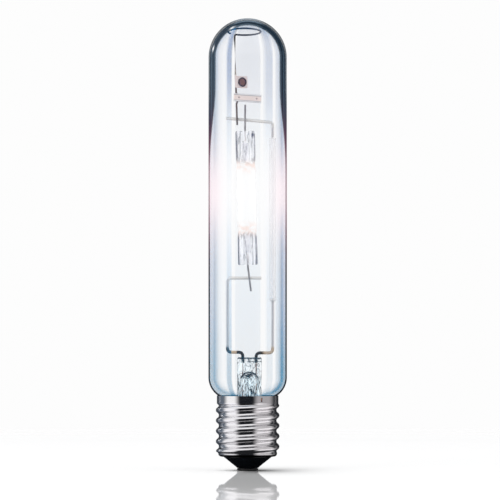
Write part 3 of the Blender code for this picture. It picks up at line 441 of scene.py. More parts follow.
foil_metal = Finish("molybdenum_foil")
creases = foil_metal.mottle(700.0, 3.0, (1.0, 1.0, 0.2))
# painted shade: the foil is darker where it turns even a little away from the eye
foil_edge_shade = foil_metal.facing().between(0.002, 0.03)
# its faint emission below is a painted sheen on the foil
foil_metal.done(
    foil_metal.body(
        Base_Color=foil_metal.blend(foil_edge_shade, (0.66, 0.67, 0.70), (0.30, 0.30, 0.34)),
        Metallic=0.3,
        Emission_Color=(0.34, 0.33, 0.34),
        Emission_Strength=1.0,
        Roughness=0.35 + 0.2 * creases,
        Normal=foil_metal.rough(creases, 0.00004),
    )
)

for side, end, lead_length, lead_bend in (
    (1, "upper", 0.0162, np.radians(1.5)),
    (-1, "lower", 0.0163, np.radians(6.0)),
):
    shank = [(0, 0, side * ELECTRODE_TIP), (0, 0, side * (FOIL_START - 0.0003))]
    piece(
        f"{end}_shank", [skin(on_burner(wire(shank, SHANK_RADIUS)))],
        tungsten, "tungsten", f"{end}_electrode",
    )
    turns = np.linspace(0, 5, 5 * 28)
    wound = SHANK_RADIUS + 0.0001 + COIL_WIRE_RADIUS
    helix = np.stack(
        [
            wound * np.cos(2 * np.pi * turns),
            wound * np.sin(2 * np.pi * turns),
            side * (ELECTRODE_TIP + 0.0009 + COIL_WIRE_RADIUS + COIL_PITCH * turns),
        ],
        axis=-1,
    )
    piece(
        f"{end}_coil", [skin(on_burner(wire(helix, COIL_WIRE_RADIUS, (0, 0, 1), 12)))],
        tungsten, "tungsten", f"{end}_electrode_coil",
    )
    # the foil is a ribbon whose section is a flat lens, thin at its edges
    b = np.linspace(0, 2 * np.pi, 32, endpoint=False)
    reach = side * np.linspace(FOIL_START + 0.0003, FOIL_END - 0.0003, 24)[:, None]
    width, thickness = FOIL_HALF_WIDTH * np.cos(b), FOIL_HALF_THICK * np.sin(b) ** 3
    ribbon = np.stack([width + 0 * reach, thickness + 0 * reach, reach + 0 * b], axis=-1)
    piece(f"{end}_ribbon", [skin(on_burner(ribbon))], foil_metal, "foil_metal", f"{end}_foil")
    knee = side * (PINCH_REACH + LEAD_KNEE)
    beyond = lead_length - LEAD_KNEE
    lead_path = [
        (0, 0, side * (FOIL_END + 0.0003)),
        (0, 0, knee),
        (beyond * np.sin(lead_bend), 0, knee + side * beyond * np.cos(lead_bend)),
    ]
    piece(
        f"{end}_lead_wire", [skin(on_burner(wire(bent(lead_path, 0.006), LEAD_WIRE_RADIUS)))],
        molybdenum, "rod_metal", f"{end}_lead",
    )


# Glass stem. A flared tube of hard glass, pressed flat at its top over the lead-in wires, with
# the pumping tube opening into the bulb below the press. Its foot is fused into the bulb's neck.

STEM_TOP = 0.0693
STEM_RADIUS = 0.0074
STEM_WALL = 0.0013
PRESS_HALF_WIDTH = 0.00755
PRESS_HALF_DEPTH = 0.0028
PRESS_START = 0.0600
CAVITY_TOP = 0.0580
FLARE_FOOT = 0.0313
FLARE_HEIGHT = 0.0110
FLARE_RADIUS = 0.0138
PRESS_X = 0.0011
FLARE_DOME_Z = 0.0541
BLOWN_HOLE_Z = 0.0581
EXHAUST_RADIUS = 0.0025
EXHAUST_BORE = 0.0015
EXHAUST_TIP_Z = 0.0225
EXHAUST_TAPER = 0.0060


def ovals(half_width, half_depth, squareness, height, sides=80):
    """Rings |cos b|^(2/n) across and |sin b|^(2/n) through: round at n = 2, boxy above that."""
    columns = (np.asarray(v, float)[:, None] for v in (half_width, half_depth, squareness, height))
    half_width, half_depth, squareness, height = columns
    b = np.linspace(0, 2 * np.pi, sides, endpoint=False)
    middle = PRESS_X * smooth((height - FLARE_FOOT) / FLARE_HEIGHT)
    x = middle + half_width * np.sign(np.cos(b)) * np.abs(np.cos(b)) ** (2 / squareness)
    y = half_depth * np.sign(np.sin(b)) * np.abs(np.sin(b)) ** (2 / squareness)
    return np.stack([x, y, height + 0 * b], axis=-1)


def along(table, steps):
    """Evenly eased rows between the given ones: steps rows from each to the next."""
    table = np.array(table, float)
    share = smooth(np.arange(steps) / steps)[:, None]
    eased = table[:-1, None] + (table[1:, None] - table[:-1, None]) * share
    return np.concatenate([eased.reshape(-1, table.shape[1]), table[-1:]])


flare = np.linspace(1, 0, 24)
flare_inside = STEM_RADIUS - STEM_WALL + (FLARE_RADIUS - STEM_RADIUS) * (1 - smooth(flare)) ** 1.5
flare_outside = flare_inside + STEM_WALL
flare_height = FLARE_FOOT + FLARE_HEIGHT * flare
bore = STEM_RADIUS - STEM_WALL
inside = along(
    [
        (bore * 0.60, PRESS_HALF_DEPTH * 0.50, 2.6, CAVITY_TOP),
        (bore * 0.84, PRESS_HALF_DEPTH * 0.84, 2.6, CAVITY_TOP - 0.0006),
        (bore * 0.95, bore * 0.62, 2.3, CAVITY_TOP - 0.0026),
        (bore, bore, 2.0, CAVITY_TOP - 0.0066),
    ],
    7,
)
outside = along(
    [
        (STEM_RADIUS, STEM_RADIUS, 2.0, PRESS_START - 0.0070),
        (STEM_RADIUS * 0.99, STEM_RADIUS * 0.80, 2.3, PRESS_START - 0.0036),
        (PRESS_HALF_WIDTH, PRESS_HALF_DEPTH * 1.25, 3.2, PRESS_START - 0.0006),
        (PRESS_HALF_WIDTH, PRESS_HALF_DEPTH, 4.5, PRESS_START + 0.0012),
    ],
    8,
)
crown = np.linspace(0, np.pi / 2, 9)
top_edge = np.stack(
    [
        PRESS_HALF_WIDTH - 0.0010 * (1 - np.cos(crown)),
        PRESS_HALF_DEPTH - 0.0009 * (1 - np.cos(crown)),
        4.5 - 1.1 * np.sin(crown),
        STEM_TOP - 0.0016 * (1 - np.sin(crown)),
    ],
    axis=-1,
)
stem_rings = ovals(
    *np.concatenate(
        [
            inside,
            np.stack([flare_inside, flare_inside, 2 + 0 * flare, flare_height], axis=-1),
            np.stack([flare_outside, flare_outside, 2 + 0 * flare, flare_height], axis=-1)[::-1],
            outside,
            top_edge,
        ]
    ).T
)

stem_glass = Finish("stem_glass")
facing = stem_glass.facing()
flow = stem_glass.mottle(210.0, 1.5, (1.0, 1.0, 0.60))
streaks = stem_glass.mottle(400.0, 1.5, (1.0, 1.0, 0.20))
# painted shade: the glass is darker where it turns away from the eye, with noise in it, and less so
# towards the right
turned_away_shade = (facing + 0.5 * (streaks - 0.5)).between(0.40, 0.72)
turned_away_shade = turned_away_shade * stem_glass.mottle(190.0, 2.0).between(0.58, 0.44, 0.25, 1.0)
# painted shade: wavy dark lines on the press and upright dark lines in the flare, as the glass bends
# the light
wavy_shade_lines = flow.band(0.47, 0.020) + flow.band(0.60, 0.022)
upright_shade_lines = streaks.band(0.42, 0.022) + streaks.band(0.57, 0.022)
# painted shade: dark lines at the inner dome of the flare, round the blown hole under the press, and
# along the press's top edge
x, _, z = stem_glass.place()
from_dome = ((x - PRESS_X) ** 2.0 + (z - FLARE_DOME_Z) ** 2.0) ** 0.5
arch_shade_line = from_dome.band(0.0058, 0.00045) * z.between(0.0556, 0.0572)
hole_shade = (((x - PRESS_X) / 0.0025) ** 2.0 + ((z - BLOWN_HOLE_Z) / 0.0012) ** 2.0) ** 0.5
hole_shade = hole_shade.between(1.05, 0.75)
lower_edge_shade = z.band(STEM_TOP - 0.0027, 0.00024) * x.between(-0.0006, 0.0002)
top_edge_shade = z.band(STEM_TOP - 0.0007, 0.00038) + 0.7 * lower_edge_shade
in_flare = z.between(0.0590, 0.0560)
# a painted highlight: pale emission where the flow noise is high and along upright lines in the flare
painted_sheen = flow.between(0.52, 0.57) + in_flare * streaks.band(0.49, 0.03)
turned_away_shade = turned_away_shade * x.between(-0.0020, 0.0040, 1.0, 0.45)
lines = wavy_shade_lines * (1.0 - in_flare) * 0.60 + upright_shade_lines * in_flare * 0.95
dark = turned_away_shade + lines + arch_shade_line + 0.60 * hole_shade + 0.85 * top_edge_shade
dark = dark.maths("MINIMUM", dark, 1.0)
stem_body = stem_glass.body(
    Base_Color=stem_glass.blend(dark * 2.0, (0.52, 0.76, 0.88), (0.004, 0.012, 0.026)),
    Roughness=0.06,
    Emission_Color=stem_glass.blend(painted_sheen * (1.0 - dark), (0.0, 0.0, 0.0), (0.95, 0.99, 1.0)),
    Emission_Strength=1.0,
)
stem_share = 0.02 + 0.03 * in_flare + 0.93 * dark + 0.22 * painted_sheen
stem_clear = stem_glass.clear((0.996, 0.999, 1.0), 0.02, 0.015)
stem_glass.done(stem_glass.mixed(stem_share, stem_clear, stem_body))
piece("stem", [skin(stem_rings)], stem_glass, "clear_glass", "glass_stem")

tube_top = CAVITY_TOP - 0.0009
taper_z = EXHAUST_TIP_Z + EXHAUST_TAPER
taper = np.linspace(0, np.pi / 2, 12)[1:]
exhaust = profile(
    (EXHAUST_BORE * np.sin(taper), taper_z - 0.0026 * np.cos(taper)),
    ([EXHAUST_BORE, 0.0020], tube_top),
    ([0.0023, EXHAUST_RADIUS], [tube_top - 0.0002, tube_top - 0.0006]),
    (EXHAUST_RADIUS * np.sin(taper[::-1]), taper_z - EXHAUST_TAPER * np.cos(taper[::-1])),
)
exhaust = rings(*exhaust, 40) + np.array([PRESS_X, 0, 0])
piece("pumping_tube", [skin(exhaust)], stem_glass, "clear_glass", "exhaust_tube")


# Lead-in wires. Copper-clad seal wires run through the press, and below it the softer leads go
# on: one to the centre contact, and one through a slot in the cap's collar, where it is welded.

LEAD_SPREAD = 0.0041
SEAL_WIRE_RADIUS = 0.00038
LEAD_RADIUS = 0.0003
SEAL_WIRE_END = 0.0500
SIDE_BEARING = np.radians(-63.0)
UNDER_NECK_Z = 0.0288
GROOVE_RADIUS = 0.016315
SLOT_RADIUS = 0.01864

copper = Finish("copper_clad_wire")
z = copper.place()[2]
oxide = copper.mottle(500.0, 4.0).between(0.40, 0.65)
browned = oxide * z.between(0.068, 0.062)
copper.done(
    copper.body(
        Base_Color=copper.blend(browned, (0.62, 0.30, 0.17), (0.22, 0.10, 0.08)),
        Metallic=1.0,
        Roughness=0.28 + 0.2 * oxide,
    )
)
for side, hand in ((-1, "left"), (1, "right")):
    at = PRESS_X + side * LEAD_SPREAD
    seal_wire = wire([(at, 0, STEM_TOP - 0.0038), (at, 0, SEAL_WIRE_END)], SEAL_WIRE_RADIUS)
    piece(f"{hand}_seal_wire", [skin(seal_wire)], copper, "copper_wire", f"seal_wire_{hand}")
centre_path = [
    (PRESS_X - LEAD_SPREAD, 0, SEAL_WIRE_END - 0.0003),
    (PRESS_X - LEAD_SPREAD, 0, EXHAUST_TIP_Z),
    (0, 0, EXHAUST_TIP_Z - 0.0070),
    (0, 0, 0.0016),
]
piece(
    "centre_lead_wire", [skin(wire(bent(centre_path, 0.004), LEAD_RADIUS, sides=12))],
    copper, "copper_wire", "centre_lead",
)


def at_slot(radius, height):
    return (radius * np.cos(SIDE_BEARING), radius * np.sin(SIDE_BEARING), height)


side_path = [
    (PRESS_X + LEAD_SPREAD, 0, SEAL_WIRE_END - 0.0003),
    (PRESS_X + LEAD_SPREAD, 0, FLARE_FOOT + 0.0050),
    at_slot(0.0077, UNDER_NECK_Z),
    at_slot(GROOVE_RADIUS, UNDER_NECK_Z),
    at_slot(GROOVE_RADIUS, 0.0402),
    at_slot(SLOT_RADIUS, 0.0428),
    at_slot(SLOT_RADIUS, 0.0447),
]
piece(
    "side_lead_wire", [skin(wire(bent(side_path, 0.0007), LEAD_RADIUS, (0.9, 0.5, 0.02), 12))],
    copper, "copper_wire", "side_lead",
)


# Frame rods. Two stiff nickel-plated steel wires, bent cold, stand in the press. Each ends in a
# crossbar that is welded behind a lead of the arc tube and so holds it.

ROD_RADIUS = 0.00095
ROD_BEND = 0.0023
ROD_FOOT = STEM_TOP - 0.0035
LEFT_FOOT_Z = 0.0723
RIGHT_FOOT_Z = 0.0719
BAR_Y = 0.0018
LEFT_ROD_X = -0.0124
RIGHT_ROD_X = 0.0153
LOWER_BAR = 0.1177
LOWER_BAR_END_X = 0.0084
UPPER_BAR = 0.2132
UPPER_BAR_RISE = 0.0026
UPPER_BAR_END_X = -0.0132

rod_steel = Finish("frame_rod_steel")
x, _, z = rod_steel.place()
scuffs = rod_steel.mottle(260.0, 4.0)
lines = rod_steel.mottle(1100.0, 2.0, (1.0, 1.0, 0.1))
plain = rod_steel.blend(scuffs, (0.78, 0.75, 0.71), (0.88, 0.86, 0.82))
upright = abs(x).between(0.0115, 0.0122) * z.between(0.0735, 0.0760) * z.between(0.2110, 0.2090)
# painted light: the upright stretches are darker down the middle and paler at their sides, a painted
# highlight, and pale inside the sleeve
upright_light = rod_steel.blend(rod_steel.facing().between(0.06, 0.34), (0.60, 0.58, 0.58), (0.92, 0.90, 0.90))
in_sleeve = z.between(0.1035, 0.1045) * z.between(0.2045, 0.2035) * x.between(0.0, 0.01)
upright_light = rod_steel.blend(in_sleeve, upright_light, (0.86, 0.85, 0.84))
tan = x.between(-0.0104, -0.0098) * x.between(-0.0064, -0.0070) + x.between(0.0084, 0.0110)
foot = rod_steel.blend(tan, (0.035, 0.026, 0.024), (0.56, 0.43, 0.31))
colour = rod_steel.blend(upright, plain, upright_light)
colour = rod_steel.blend(z.between(0.0765, 0.0745), colour, foot)
rod_steel.done(
    rod_steel.body(
        Base_Color=colour,
        Metallic=0.2,
        Roughness=0.24 + 0.16 * lines,
        Normal=rod_steel.rough(lines, 0.00003),
    )
)
left_path = [
    (PRESS_X - LEAD_SPREAD, 0, ROD_FOOT),
    (PRESS_X - LEAD_SPREAD, 0, LEFT_FOOT_Z),
    (LEFT_ROD_X, BAR_Y, LEFT_FOOT_Z),
    (LEFT_ROD_X, BAR_Y, LOWER_BAR),
    (LOWER_BAR_END_X, BAR_Y, LOWER_BAR),
]
right_path = [
    (PRESS_X + LEAD_SPREAD, 0, ROD_FOOT),
    (PRESS_X + LEAD_SPREAD, 0, RIGHT_FOOT_Z),
    (RIGHT_ROD_X, BAR_Y, RIGHT_FOOT_Z),
    (RIGHT_ROD_X, BAR_Y, UPPER_BAR),
    (UPPER_BAR_END_X, BAR_Y, UPPER_BAR + UPPER_BAR_RISE),
]
for hand, path in (("left", left_path), ("right", right_path)):
    piece(
        f"{hand}_frame_rod", [skin(wire(bent(path, ROD_BEND, 14), ROD_RADIUS, sides=28))],
        rod_steel, "rod_metal", f"frame_rod_{hand}",
    )


# Sleeve. A thin quartz tube, slipped over the right rod to keep it from the arc tube, and the
# metal ring crimped on the rod that it rests on.

SLEEVE_RADIUS = 0.0019
SLEEVE_BORE = 0.00125
SLEEVE_FOOT = 0.1050
SLEEVE_TOP = 0.2035
STOP_Z = 0.1041
STOP_HALF_HEIGHT = 0.0006

sleeve_quartz = Finish("sleeve_quartz")
# painted shade at the sleeve's edges, where it turns away from the eye, and a faint even emission
# elsewhere as a painted sheen
sleeve_rim_shade = sleeve_quartz.facing().between(0.62, 0.97)
haze = sleeve_quartz.mottle(300.0, 3.0, (1.0, 1.0, 0.15))
sleeve_body = sleeve_quartz.body(
    Base_Color=sleeve_quartz.blend(sleeve_rim_shade, (0.80, 0.80, 0.81), (0.22, 0.23, 0.25)),
    Roughness=0.25,
    Emission_Color=sleeve_quartz.blend(sleeve_rim_shade, (0.22, 0.22, 0.22), (0.0, 0.0, 0.0)),
    Emission_Strength=1.0,
)
sleeve_clear = sleeve_quartz.clear((0.995, 0.995, 0.998), 0.05, 0.015)
sleeve_quartz.done(sleeve_quartz.mixed(0.30 + 0.15 * haze + 0.10 * sleeve_rim_shade, sleeve_clear, sleeve_body))
melt = np.linspace(0, np.pi, 7)
half_wall = (SLEEVE_RADIUS - SLEEVE_BORE) / 2
middle = SLEEVE_BORE + half_wall
melted = half_wall * (1 - np.sin(melt))
tube = profile(
    (middle + half_wall * np.cos(melt), SLEEVE_TOP - melted),
    (middle - half_wall * np.cos(melt), SLEEVE_FOOT + melted),
)
on_rod = np.array([RIGHT_ROD_X, BAR_Y, 0])
piece(
    "quartz_sleeve", [skin(rings(*tube, 48) + on_rod, "loop")],
    sleeve_quartz, "quartz_glass", "rod_sleeve",
)
crimp = np.linspace(-np.pi / 2, np.pi / 2, 9)
stop = profile(
    (SLEEVE_BORE, STOP_Z - STOP_HALF_HEIGHT),
    (SLEEVE_RADIUS - 0.0003 * (1 - np.cos(crimp)), STOP_Z + STOP_HALF_HEIGHT * np.sin(crimp)),
    (SLEEVE_BORE, STOP_Z + STOP_HALF_HEIGHT),
)
piece(
    "stop_ring", [skin(rings(*stop, 40) + on_rod, "loop")],
    rod_steel, "rod_metal", "sleeve_stop",
)


# Support wire. It is welded to the upper bar, carries both getters, and ends in an open loop
# that springs against the dome and keeps the frame in the middle of the bulb.

SUPPORT_RADIUS = 0.00055
SUPPORT_X = -0.0073
SUPPORT_FOOT_X = -0.0064
LOOP_Z = 0.2690
LOOP_X = -0.0020
LOOP_HALF_WIDTH = 0.0100
LOOP_TILT = np.tan(np.radians(3.7))
BULB_RADIUS = 0.0240
BULB_WALL = 0.0013
CROWN_WALL = 0.0021
CROWN_Z = 0.2530
STRIP_Z = 0.2280
PLATE_Z = 0.2380


def loop_reach(way):
    """How far the loop goes back or forwards before it meets the dome's inner wall."""
    y = way * BULB_RADIUS / 2
    for _ in range(12):
        rise = (LOOP_Z - y * LOOP_TILT + SUPPORT_RADIUS - CROWN_Z) / (BULB_RADIUS - CROWN_WALL)
        reach = (BULB_RADIUS - BULB_WALL) * np.sqrt(1 - rise**2) - SUPPORT_RADIUS - 0.0006
        y = way * np.sqrt(reach**2 - LOOP_X**2)
    return y


front, back = loop_reach(-1), loop_reach(1)
a = np.linspace(np.radians(127.0), np.radians(127.0 - 338.0), 90)
loop_y = (front + back) / 2 + (back - front) / 2 * np.sin(a)
loop = np.stack([LOOP_X + LOOP_HALF_WIDTH * np.cos(a), loop_y, LOOP_Z - loop_y * LOOP_TILT], axis=-1)
bar_slope = UPPER_BAR_RISE / (RIGHT_ROD_X - UPPER_BAR_END_X)
foot_z = UPPER_BAR + bar_slope * (RIGHT_ROD_X - SUPPORT_FOOT_X) - 0.0037
slope = (SUPPORT_X - SUPPORT_FOOT_X) / (PLATE_Z - foot_z)
heights = (foot_z, STRIP_Z - 0.0035, STRIP_Z, STRIP_Z + 0.0035, PLATE_Z + 0.00365)
riser = [(SUPPORT_FOOT_X + slope * (height - foot_z), 0, height) for height in heights]
riser[2] = (SUPPORT_X + 0.0018, 0, STRIP_Z)
rising = bent(riser + [tuple(loop[0]), tuple(loop[4])], 0.0019, 8)
support_path = np.concatenate([rising[:-1], loop[5:]])
level = smooth((support_path[:, 2] - 0.262) / 0.006)[:, None]
square_to = unit(level * np.array([0.0, 0.0, 1.0]) + (1 - level) * np.array([0.0, 1.0, 0.0]))
support_metal = Finish("support_wire_steel")
x, _, z = support_metal.place()
lines = support_metal.mottle(900.0, 2.0, (1.0, 1.0, 0.12))
# tone by height: darker below, pale in the middle as a painted reflection of the white room, near black
# at the loop, and grey to the right of the loop
tone_by_height = support_metal.ramp(
    z.between(0.2100, 0.2700),
    [
        (0.0, (0.16, 0.12, 0.11)), (0.42, (0.22, 0.16, 0.14)), (0.56, (0.90, 0.80, 0.72)),
        (0.84, (0.84, 0.74, 0.66)), (0.95, (0.03, 0.028, 0.03)), (1.0, (0.02, 0.02, 0.022)),
    ],
)
support_metal.done(
    support_metal.body(
        Base_Color=support_metal.blend(x.between(0.0, 0.007), tone_by_height, (0.34, 0.33, 0.34)),
        Metallic=0.3,
        Roughness=0.28 + 0.16 * lines,
        Normal=support_metal.rough(lines, 0.00002),
    )
)
piece(
    "bracing_wire", [skin(wire(support_path, SUPPORT_RADIUS, square_to))],
    support_metal, "rod_metal", "top_support_wire",
)


# Getters. A plate holds a small cup of pressed powder, and a strip with rolled edges crosses
# below it. Both are spot-welded to the support wire and keep the space in the bulb clean.

PLATE_TURN = np.radians(33.0)
PLATE_MIDDLE = 0.0039
PLATE_HALF_WIDTH = 0.0045
PLATE_HALF_HEIGHT = 0.00365
PLATE_HOLE_RADIUS = 0.0029
SHEET = 0.0003
CUP_X = 0.0045
CUP_RADIUS = 0.00295
CUP_TOP = 0.00095
CUP_LIP = 0.00018
PELLET_RADIUS = 0.0021
STRIP_SLOPE = np.radians(4.2)
STRIP_HALF_LENGTH = 0.00845
STRIP_ROLL = 0.0004
STRIP_ROLL_Z = 0.00205
WELDS_X = (-0.0053, 0.0055)
GETTER_Y = -SUPPORT_RADIUS - SHEET


def sheet_metal(name, colour, tint):
    """Thin nickel-plated sheet, a little uneven and stained by the welding and the getter."""
    finish = Finish(name)
    cloud = finish.mottle(190.0, 4.0).between(0.35, 0.68)
    grain = finish.mottle(1500.0, 2.0)
    return finish.done(
        finish.body(
            Base_Color=finish.blend(cloud, colour, tint),
            Metallic=0.2,
            Roughness=0.38 + 0.18 * grain,
            Normal=finish.rough(finish.mottle(260.0, 2.0), 0.00012),
        )
    )


def on_plate(grid):
    """Turns what is drawn flat on the getter plate to its place on the support wire."""
    x, y, z = np.moveaxis(grid, -1, 0)
    turned = (
        SUPPORT_X + x * np.cos(PLATE_TURN) - y * np.sin(PLATE_TURN),
        GETTER_Y + x * np.sin(PLATE_TURN) + y * np.cos(PLATE_TURN),
        PLATE_Z + z,
    )
    return np.stack(turned, axis=-1)


plate_metal = sheet_metal("getter_plate_metal", (0.92, 0.79, 0.75), (0.82, 0.68, 0.65))
b = np.linspace(0, 2 * np.pi, 120, endpoint=False)
rim_x = PLATE_MIDDLE + PLATE_HALF_WIDTH * np.sign(np.cos(b)) * np.abs(np.cos(b)) ** 0.16
rim_z = PLATE_HALF_HEIGHT * np.sign(np.sin(b)) * np.abs(np.sin(b)) ** 0.16
hole_x, hole_z = CUP_X + PLATE_HOLE_RADIUS * np.cos(b), PLATE_HOLE_RADIUS * np.sin(b)
share = np.concatenate([np.linspace(0, 1, 10), np.linspace(1, 0, 10)])[:, None]
depth = np.repeat([-SHEET, 0.0], 10)[:, None]
plate = np.stack(
    [hole_x + (rim_x - hole_x) * share, depth + 0 * b, hole_z + (rim_z - hole_z) * share], axis=-1
)
piece(
    "getter_holder", [skin(on_plate(plate), "loop")],
    plate_metal, "getter_metal", "getter_plate", sharp=30.0,
)


def in_cup(radius, height):
    """A shape turned about the cup's axis, which points out of the plate towards the front."""
    grid = rings(radius, height, 64)
    x, y, z = np.moveaxis(grid, -1, 0)
    return on_plate(np.stack([CUP_X + x, -z, y], axis=-1))


def mottled(name, noise, colours, roughness, metallic=0.0, relief=0.0, **more):
    """A finish whose colour, gloss and height follow one noise, as cast and pressed things have."""
    finish = Finish(name)
    patches = finish.mottle(*noise)
    low, spread = roughness
    if relief:
        more["Normal"] = finish.rough(patches, relief)
    return finish.done(
        finish.body(
            Base_Color=finish.blend(patches, *colours),
            Metallic=metallic,
            Roughness=low + spread * patches if spread else low,
            **more,
        )
    )


curl = np.linspace(0, np.pi, 9)
cup = profile(
    ([0.0022, 0.00225], [-0.0001, CUP_TOP - 0.0001]),
    (CUP_RADIUS - 0.0002 + CUP_LIP * np.sin(curl), CUP_TOP - CUP_LIP * (1 - np.cos(curl))),
    ([0.0026, 0.0026, 0.0024], [CUP_TOP - 2 * CUP_LIP, -SHEET, -SHEET - 0.00005]),
)
cup_colours = ((0.055, 0.030, 0.030), (0.12, 0.08, 0.08))
cup_metal = mottled("getter_cup_metal", (500.0, 3.0), cup_colours, (0.5, 0.0), 0.4)
piece("powder_cup", [skin(in_cup(*cup))], cup_metal, "getter_metal", "getter_cup")

powder = Finish("getter_powder")
crumbs = powder.mottle(2600.0, 4.0)
crumb_colour = powder.blend(crumbs.between(0.3, 0.7), (0.16, 0.070, 0.058), (0.28, 0.155, 0.135))
powder.done(powder.body(Base_Color=crumb_colour, Roughness=0.85, Normal=powder.rough(crumbs, 0.0003)))
s = np.linspace(1, 0, 14)[1:-1]
pellet = profile(
    (PELLET_RADIUS, [0.0001, CUP_TOP - 0.0003]),
    (PELLET_RADIUS * s, CUP_TOP - 0.0003 + 0.00012 * (1 - s**4)),
)
piece("powder_pellet", [skin(in_cup(*pellet))], powder, "getter_powder", "getter_pellet")

strip_metal = Finish("getter_strip_metal")
x, _, z = strip_metal.place()
across = z - STRIP_Z + x * float(np.tan(STRIP_SLOPE))
off_middle = abs(across)
# painted shade: dark lines along the rolled edges and at the outer edges
painted_lines = off_middle.band(0.00162, 0.00014) + off_middle.between(0.00222, 0.00240)
middle = off_middle.between(0.00150, 0.00130)
cloud = strip_metal.mottle(500.0, 3.0)
colour = strip_metal.blend(middle * (0.5 + cloud), (0.93, 0.91, 0.90), (0.94, 0.80, 0.74))
colour = strip_metal.blend(painted_lines, colour, (0.30, 0.28, 0.29))
for weld_x in WELDS_X:
    weld = (((x - weld_x) ** 2.0 + across**2.0) ** 0.5).band(0.0, 0.00042)
    colour = strip_metal.blend(weld, colour, (0.12, 0.045, 0.040))
strip_metal.done(
    strip_metal.body(
        Base_Color=colour,
        Metallic=0.15,
        Roughness=0.38 + 0.1 * cloud,
        Normal=strip_metal.rough(cloud, 0.00008),
    )
)
dip = np.arcsin(0.00015 / STRIP_ROLL)
a = np.linspace(-np.pi / 2 + dip, 3 * np.pi / 2 - dip, 22)
web_z = np.linspace(-0.0015, 0.0015, 15)
section_y, section_z = profile(
    (STRIP_ROLL * np.cos(a), STRIP_ROLL_Z + STRIP_ROLL * np.sin(a)),
    (-0.00015, web_z[::-1]),
    (-STRIP_ROLL * np.cos(a), -STRIP_ROLL_Z - STRIP_ROLL * np.sin(a)),
    (0.00015, web_z),
)
length = np.linspace(-STRIP_HALF_LENGTH, STRIP_HALF_LENGTH, 90)[:, None]
dents = sum(np.exp(-(((length - weld_x) ** 2 + section_z**2) / 0.0000003)) for weld_x in WELDS_X)
strip_y = GETTER_Y - STRIP_ROLL + section_y + 0.00025 * dents
strip = np.stack(
    [
        -0.0001 + length * np.cos(STRIP_SLOPE) + section_z * np.sin(STRIP_SLOPE),
        strip_y,
        STRIP_Z - length * np.sin(STRIP_SLOPE) + section_z * np.cos(STRIP_SLOPE),
    ],
    axis=-1,
)
piece("rolled_strip", [skin(strip)], strip_metal, "getter_metal", "getter_strip")


# Outer bulb. Blown hard glass: a tube with a domed crown, a long shoulder and a neck that is
# fused to the stem's flare. It is clear; its blue-grey edge, bands and upright streaks are painted
# shade and painted reflections, and its pink haze is painted light from the arc.

BULB_SIDES = 160
NECK_RADIUS = 0.0154
NECK_END = 0.0310
NECK_ARC = 0.0060
SHOULDER_ARC = 0.0135
SHOULDER_TOP = 0.05694
SHOULDER_ANGLE = np.arccos(1 - (BULB_RADIUS - NECK_RADIUS) / (SHOULDER_ARC + NECK_ARC))


def bulb_wall(inset, crown_height):
    """One face of the wall from the crown down: an ellipse, a straight side, and two arcs."""
    crown = np.linspace(0.02, np.pi / 2, 40)
    shoulder = np.linspace(0, SHOULDER_ANGLE, 26)
    into_neck = np.linspace(np.pi - SHOULDER_ANGLE, np.pi, 10)[1:]
    lowest = SHOULDER_TOP - (SHOULDER_ARC + NECK_ARC) * np.sin(SHOULDER_ANGLE)
    outer, inner = SHOULDER_ARC - inset, NECK_ARC + inset
    shoulder_middle = BULB_RADIUS - SHOULDER_ARC
    return profile(
        ((BULB_RADIUS - inset) * np.sin(crown), CROWN_Z + crown_height * np.cos(crown)),
        (BULB_RADIUS - inset, np.linspace(CROWN_Z, SHOULDER_TOP, 14)[1:-1]),
        (shoulder_middle + outer * np.cos(shoulder), SHOULDER_TOP - outer * np.sin(shoulder)),
        (NECK_RADIUS + NECK_ARC + inner * np.cos(into_neck), lowest + inner * np.sin(into_neck)),
        (NECK_RADIUS - inset, NECK_END),
    )


bulb_glass = Finish("bulb_glass")
x, y, z = bulb_glass.place()
facing = bulb_glass.facing()
neck = z.between(0.110, 0.056)
halo = z.band(0.1705, 0.027)
calm = z.band(0.1740, 0.060)
right = x.between(0.008, 0.018)
# painted reflections: two soft blue bands, one in from the other, as the two faces of the wall give,
# stronger on the right and at the neck
soft_shares = (
    (0.22, 0.0), (0.28, 0.03), (0.33, 0.06), (0.37, 0.10), (0.44, 0.20), (0.47, 0.23),
    (0.51, 0.16), (0.58, 0.09), (0.64, 0.08), (0.70, 0.07),
)
soft = bulb_glass.ramp(facing - 0.05 * right, [(place, (share,) * 3) for place, share in soft_shares])
soft = soft * (1.0 + 0.50 * right + 0.45 * neck + 0.35 * right * neck)
soft = soft + 0.07 * neck * facing.between(0.38, 0.55)
# painted shade: the dark outline, a thin line on the tube, which widens to a broad band round the dome
inner_edge = z.between(0.184, 0.236, 0.745, 0.450)
outline = (facing - inner_edge).between(-0.050, 0.045)
pale_start = z.between(0.250, 0.264, 0.70, 0.63)
pale_line = (facing - pale_start).between(0.0, 0.09) * z.between(0.212, 0.238)
thin_line = facing.band(0.615, 0.018) * z.between(0.225, 0.245)
outline = outline * (0.93 - 0.62 * pale_line - 0.30 * thin_line)
tint_stops = (
    (0.0, (0.0, 0.36, 0.72)), (0.30, (0.0, 0.30, 0.62)), (0.45, (0.0, 0.13, 0.31)),
    (0.56, (0.0, 0.18, 0.46)), (0.66, (0.03, 0.22, 0.60)),
)
tint = bulb_glass.ramp(facing, tint_stops)
tint = bulb_glass.blend(neck, tint, (0.0, 0.24, 0.44))
upper = z.between(0.190, 0.235)
tint = bulb_glass.blend(upper * facing.between(0.45, 0.30), tint, (0.0, 0.13, 0.40))
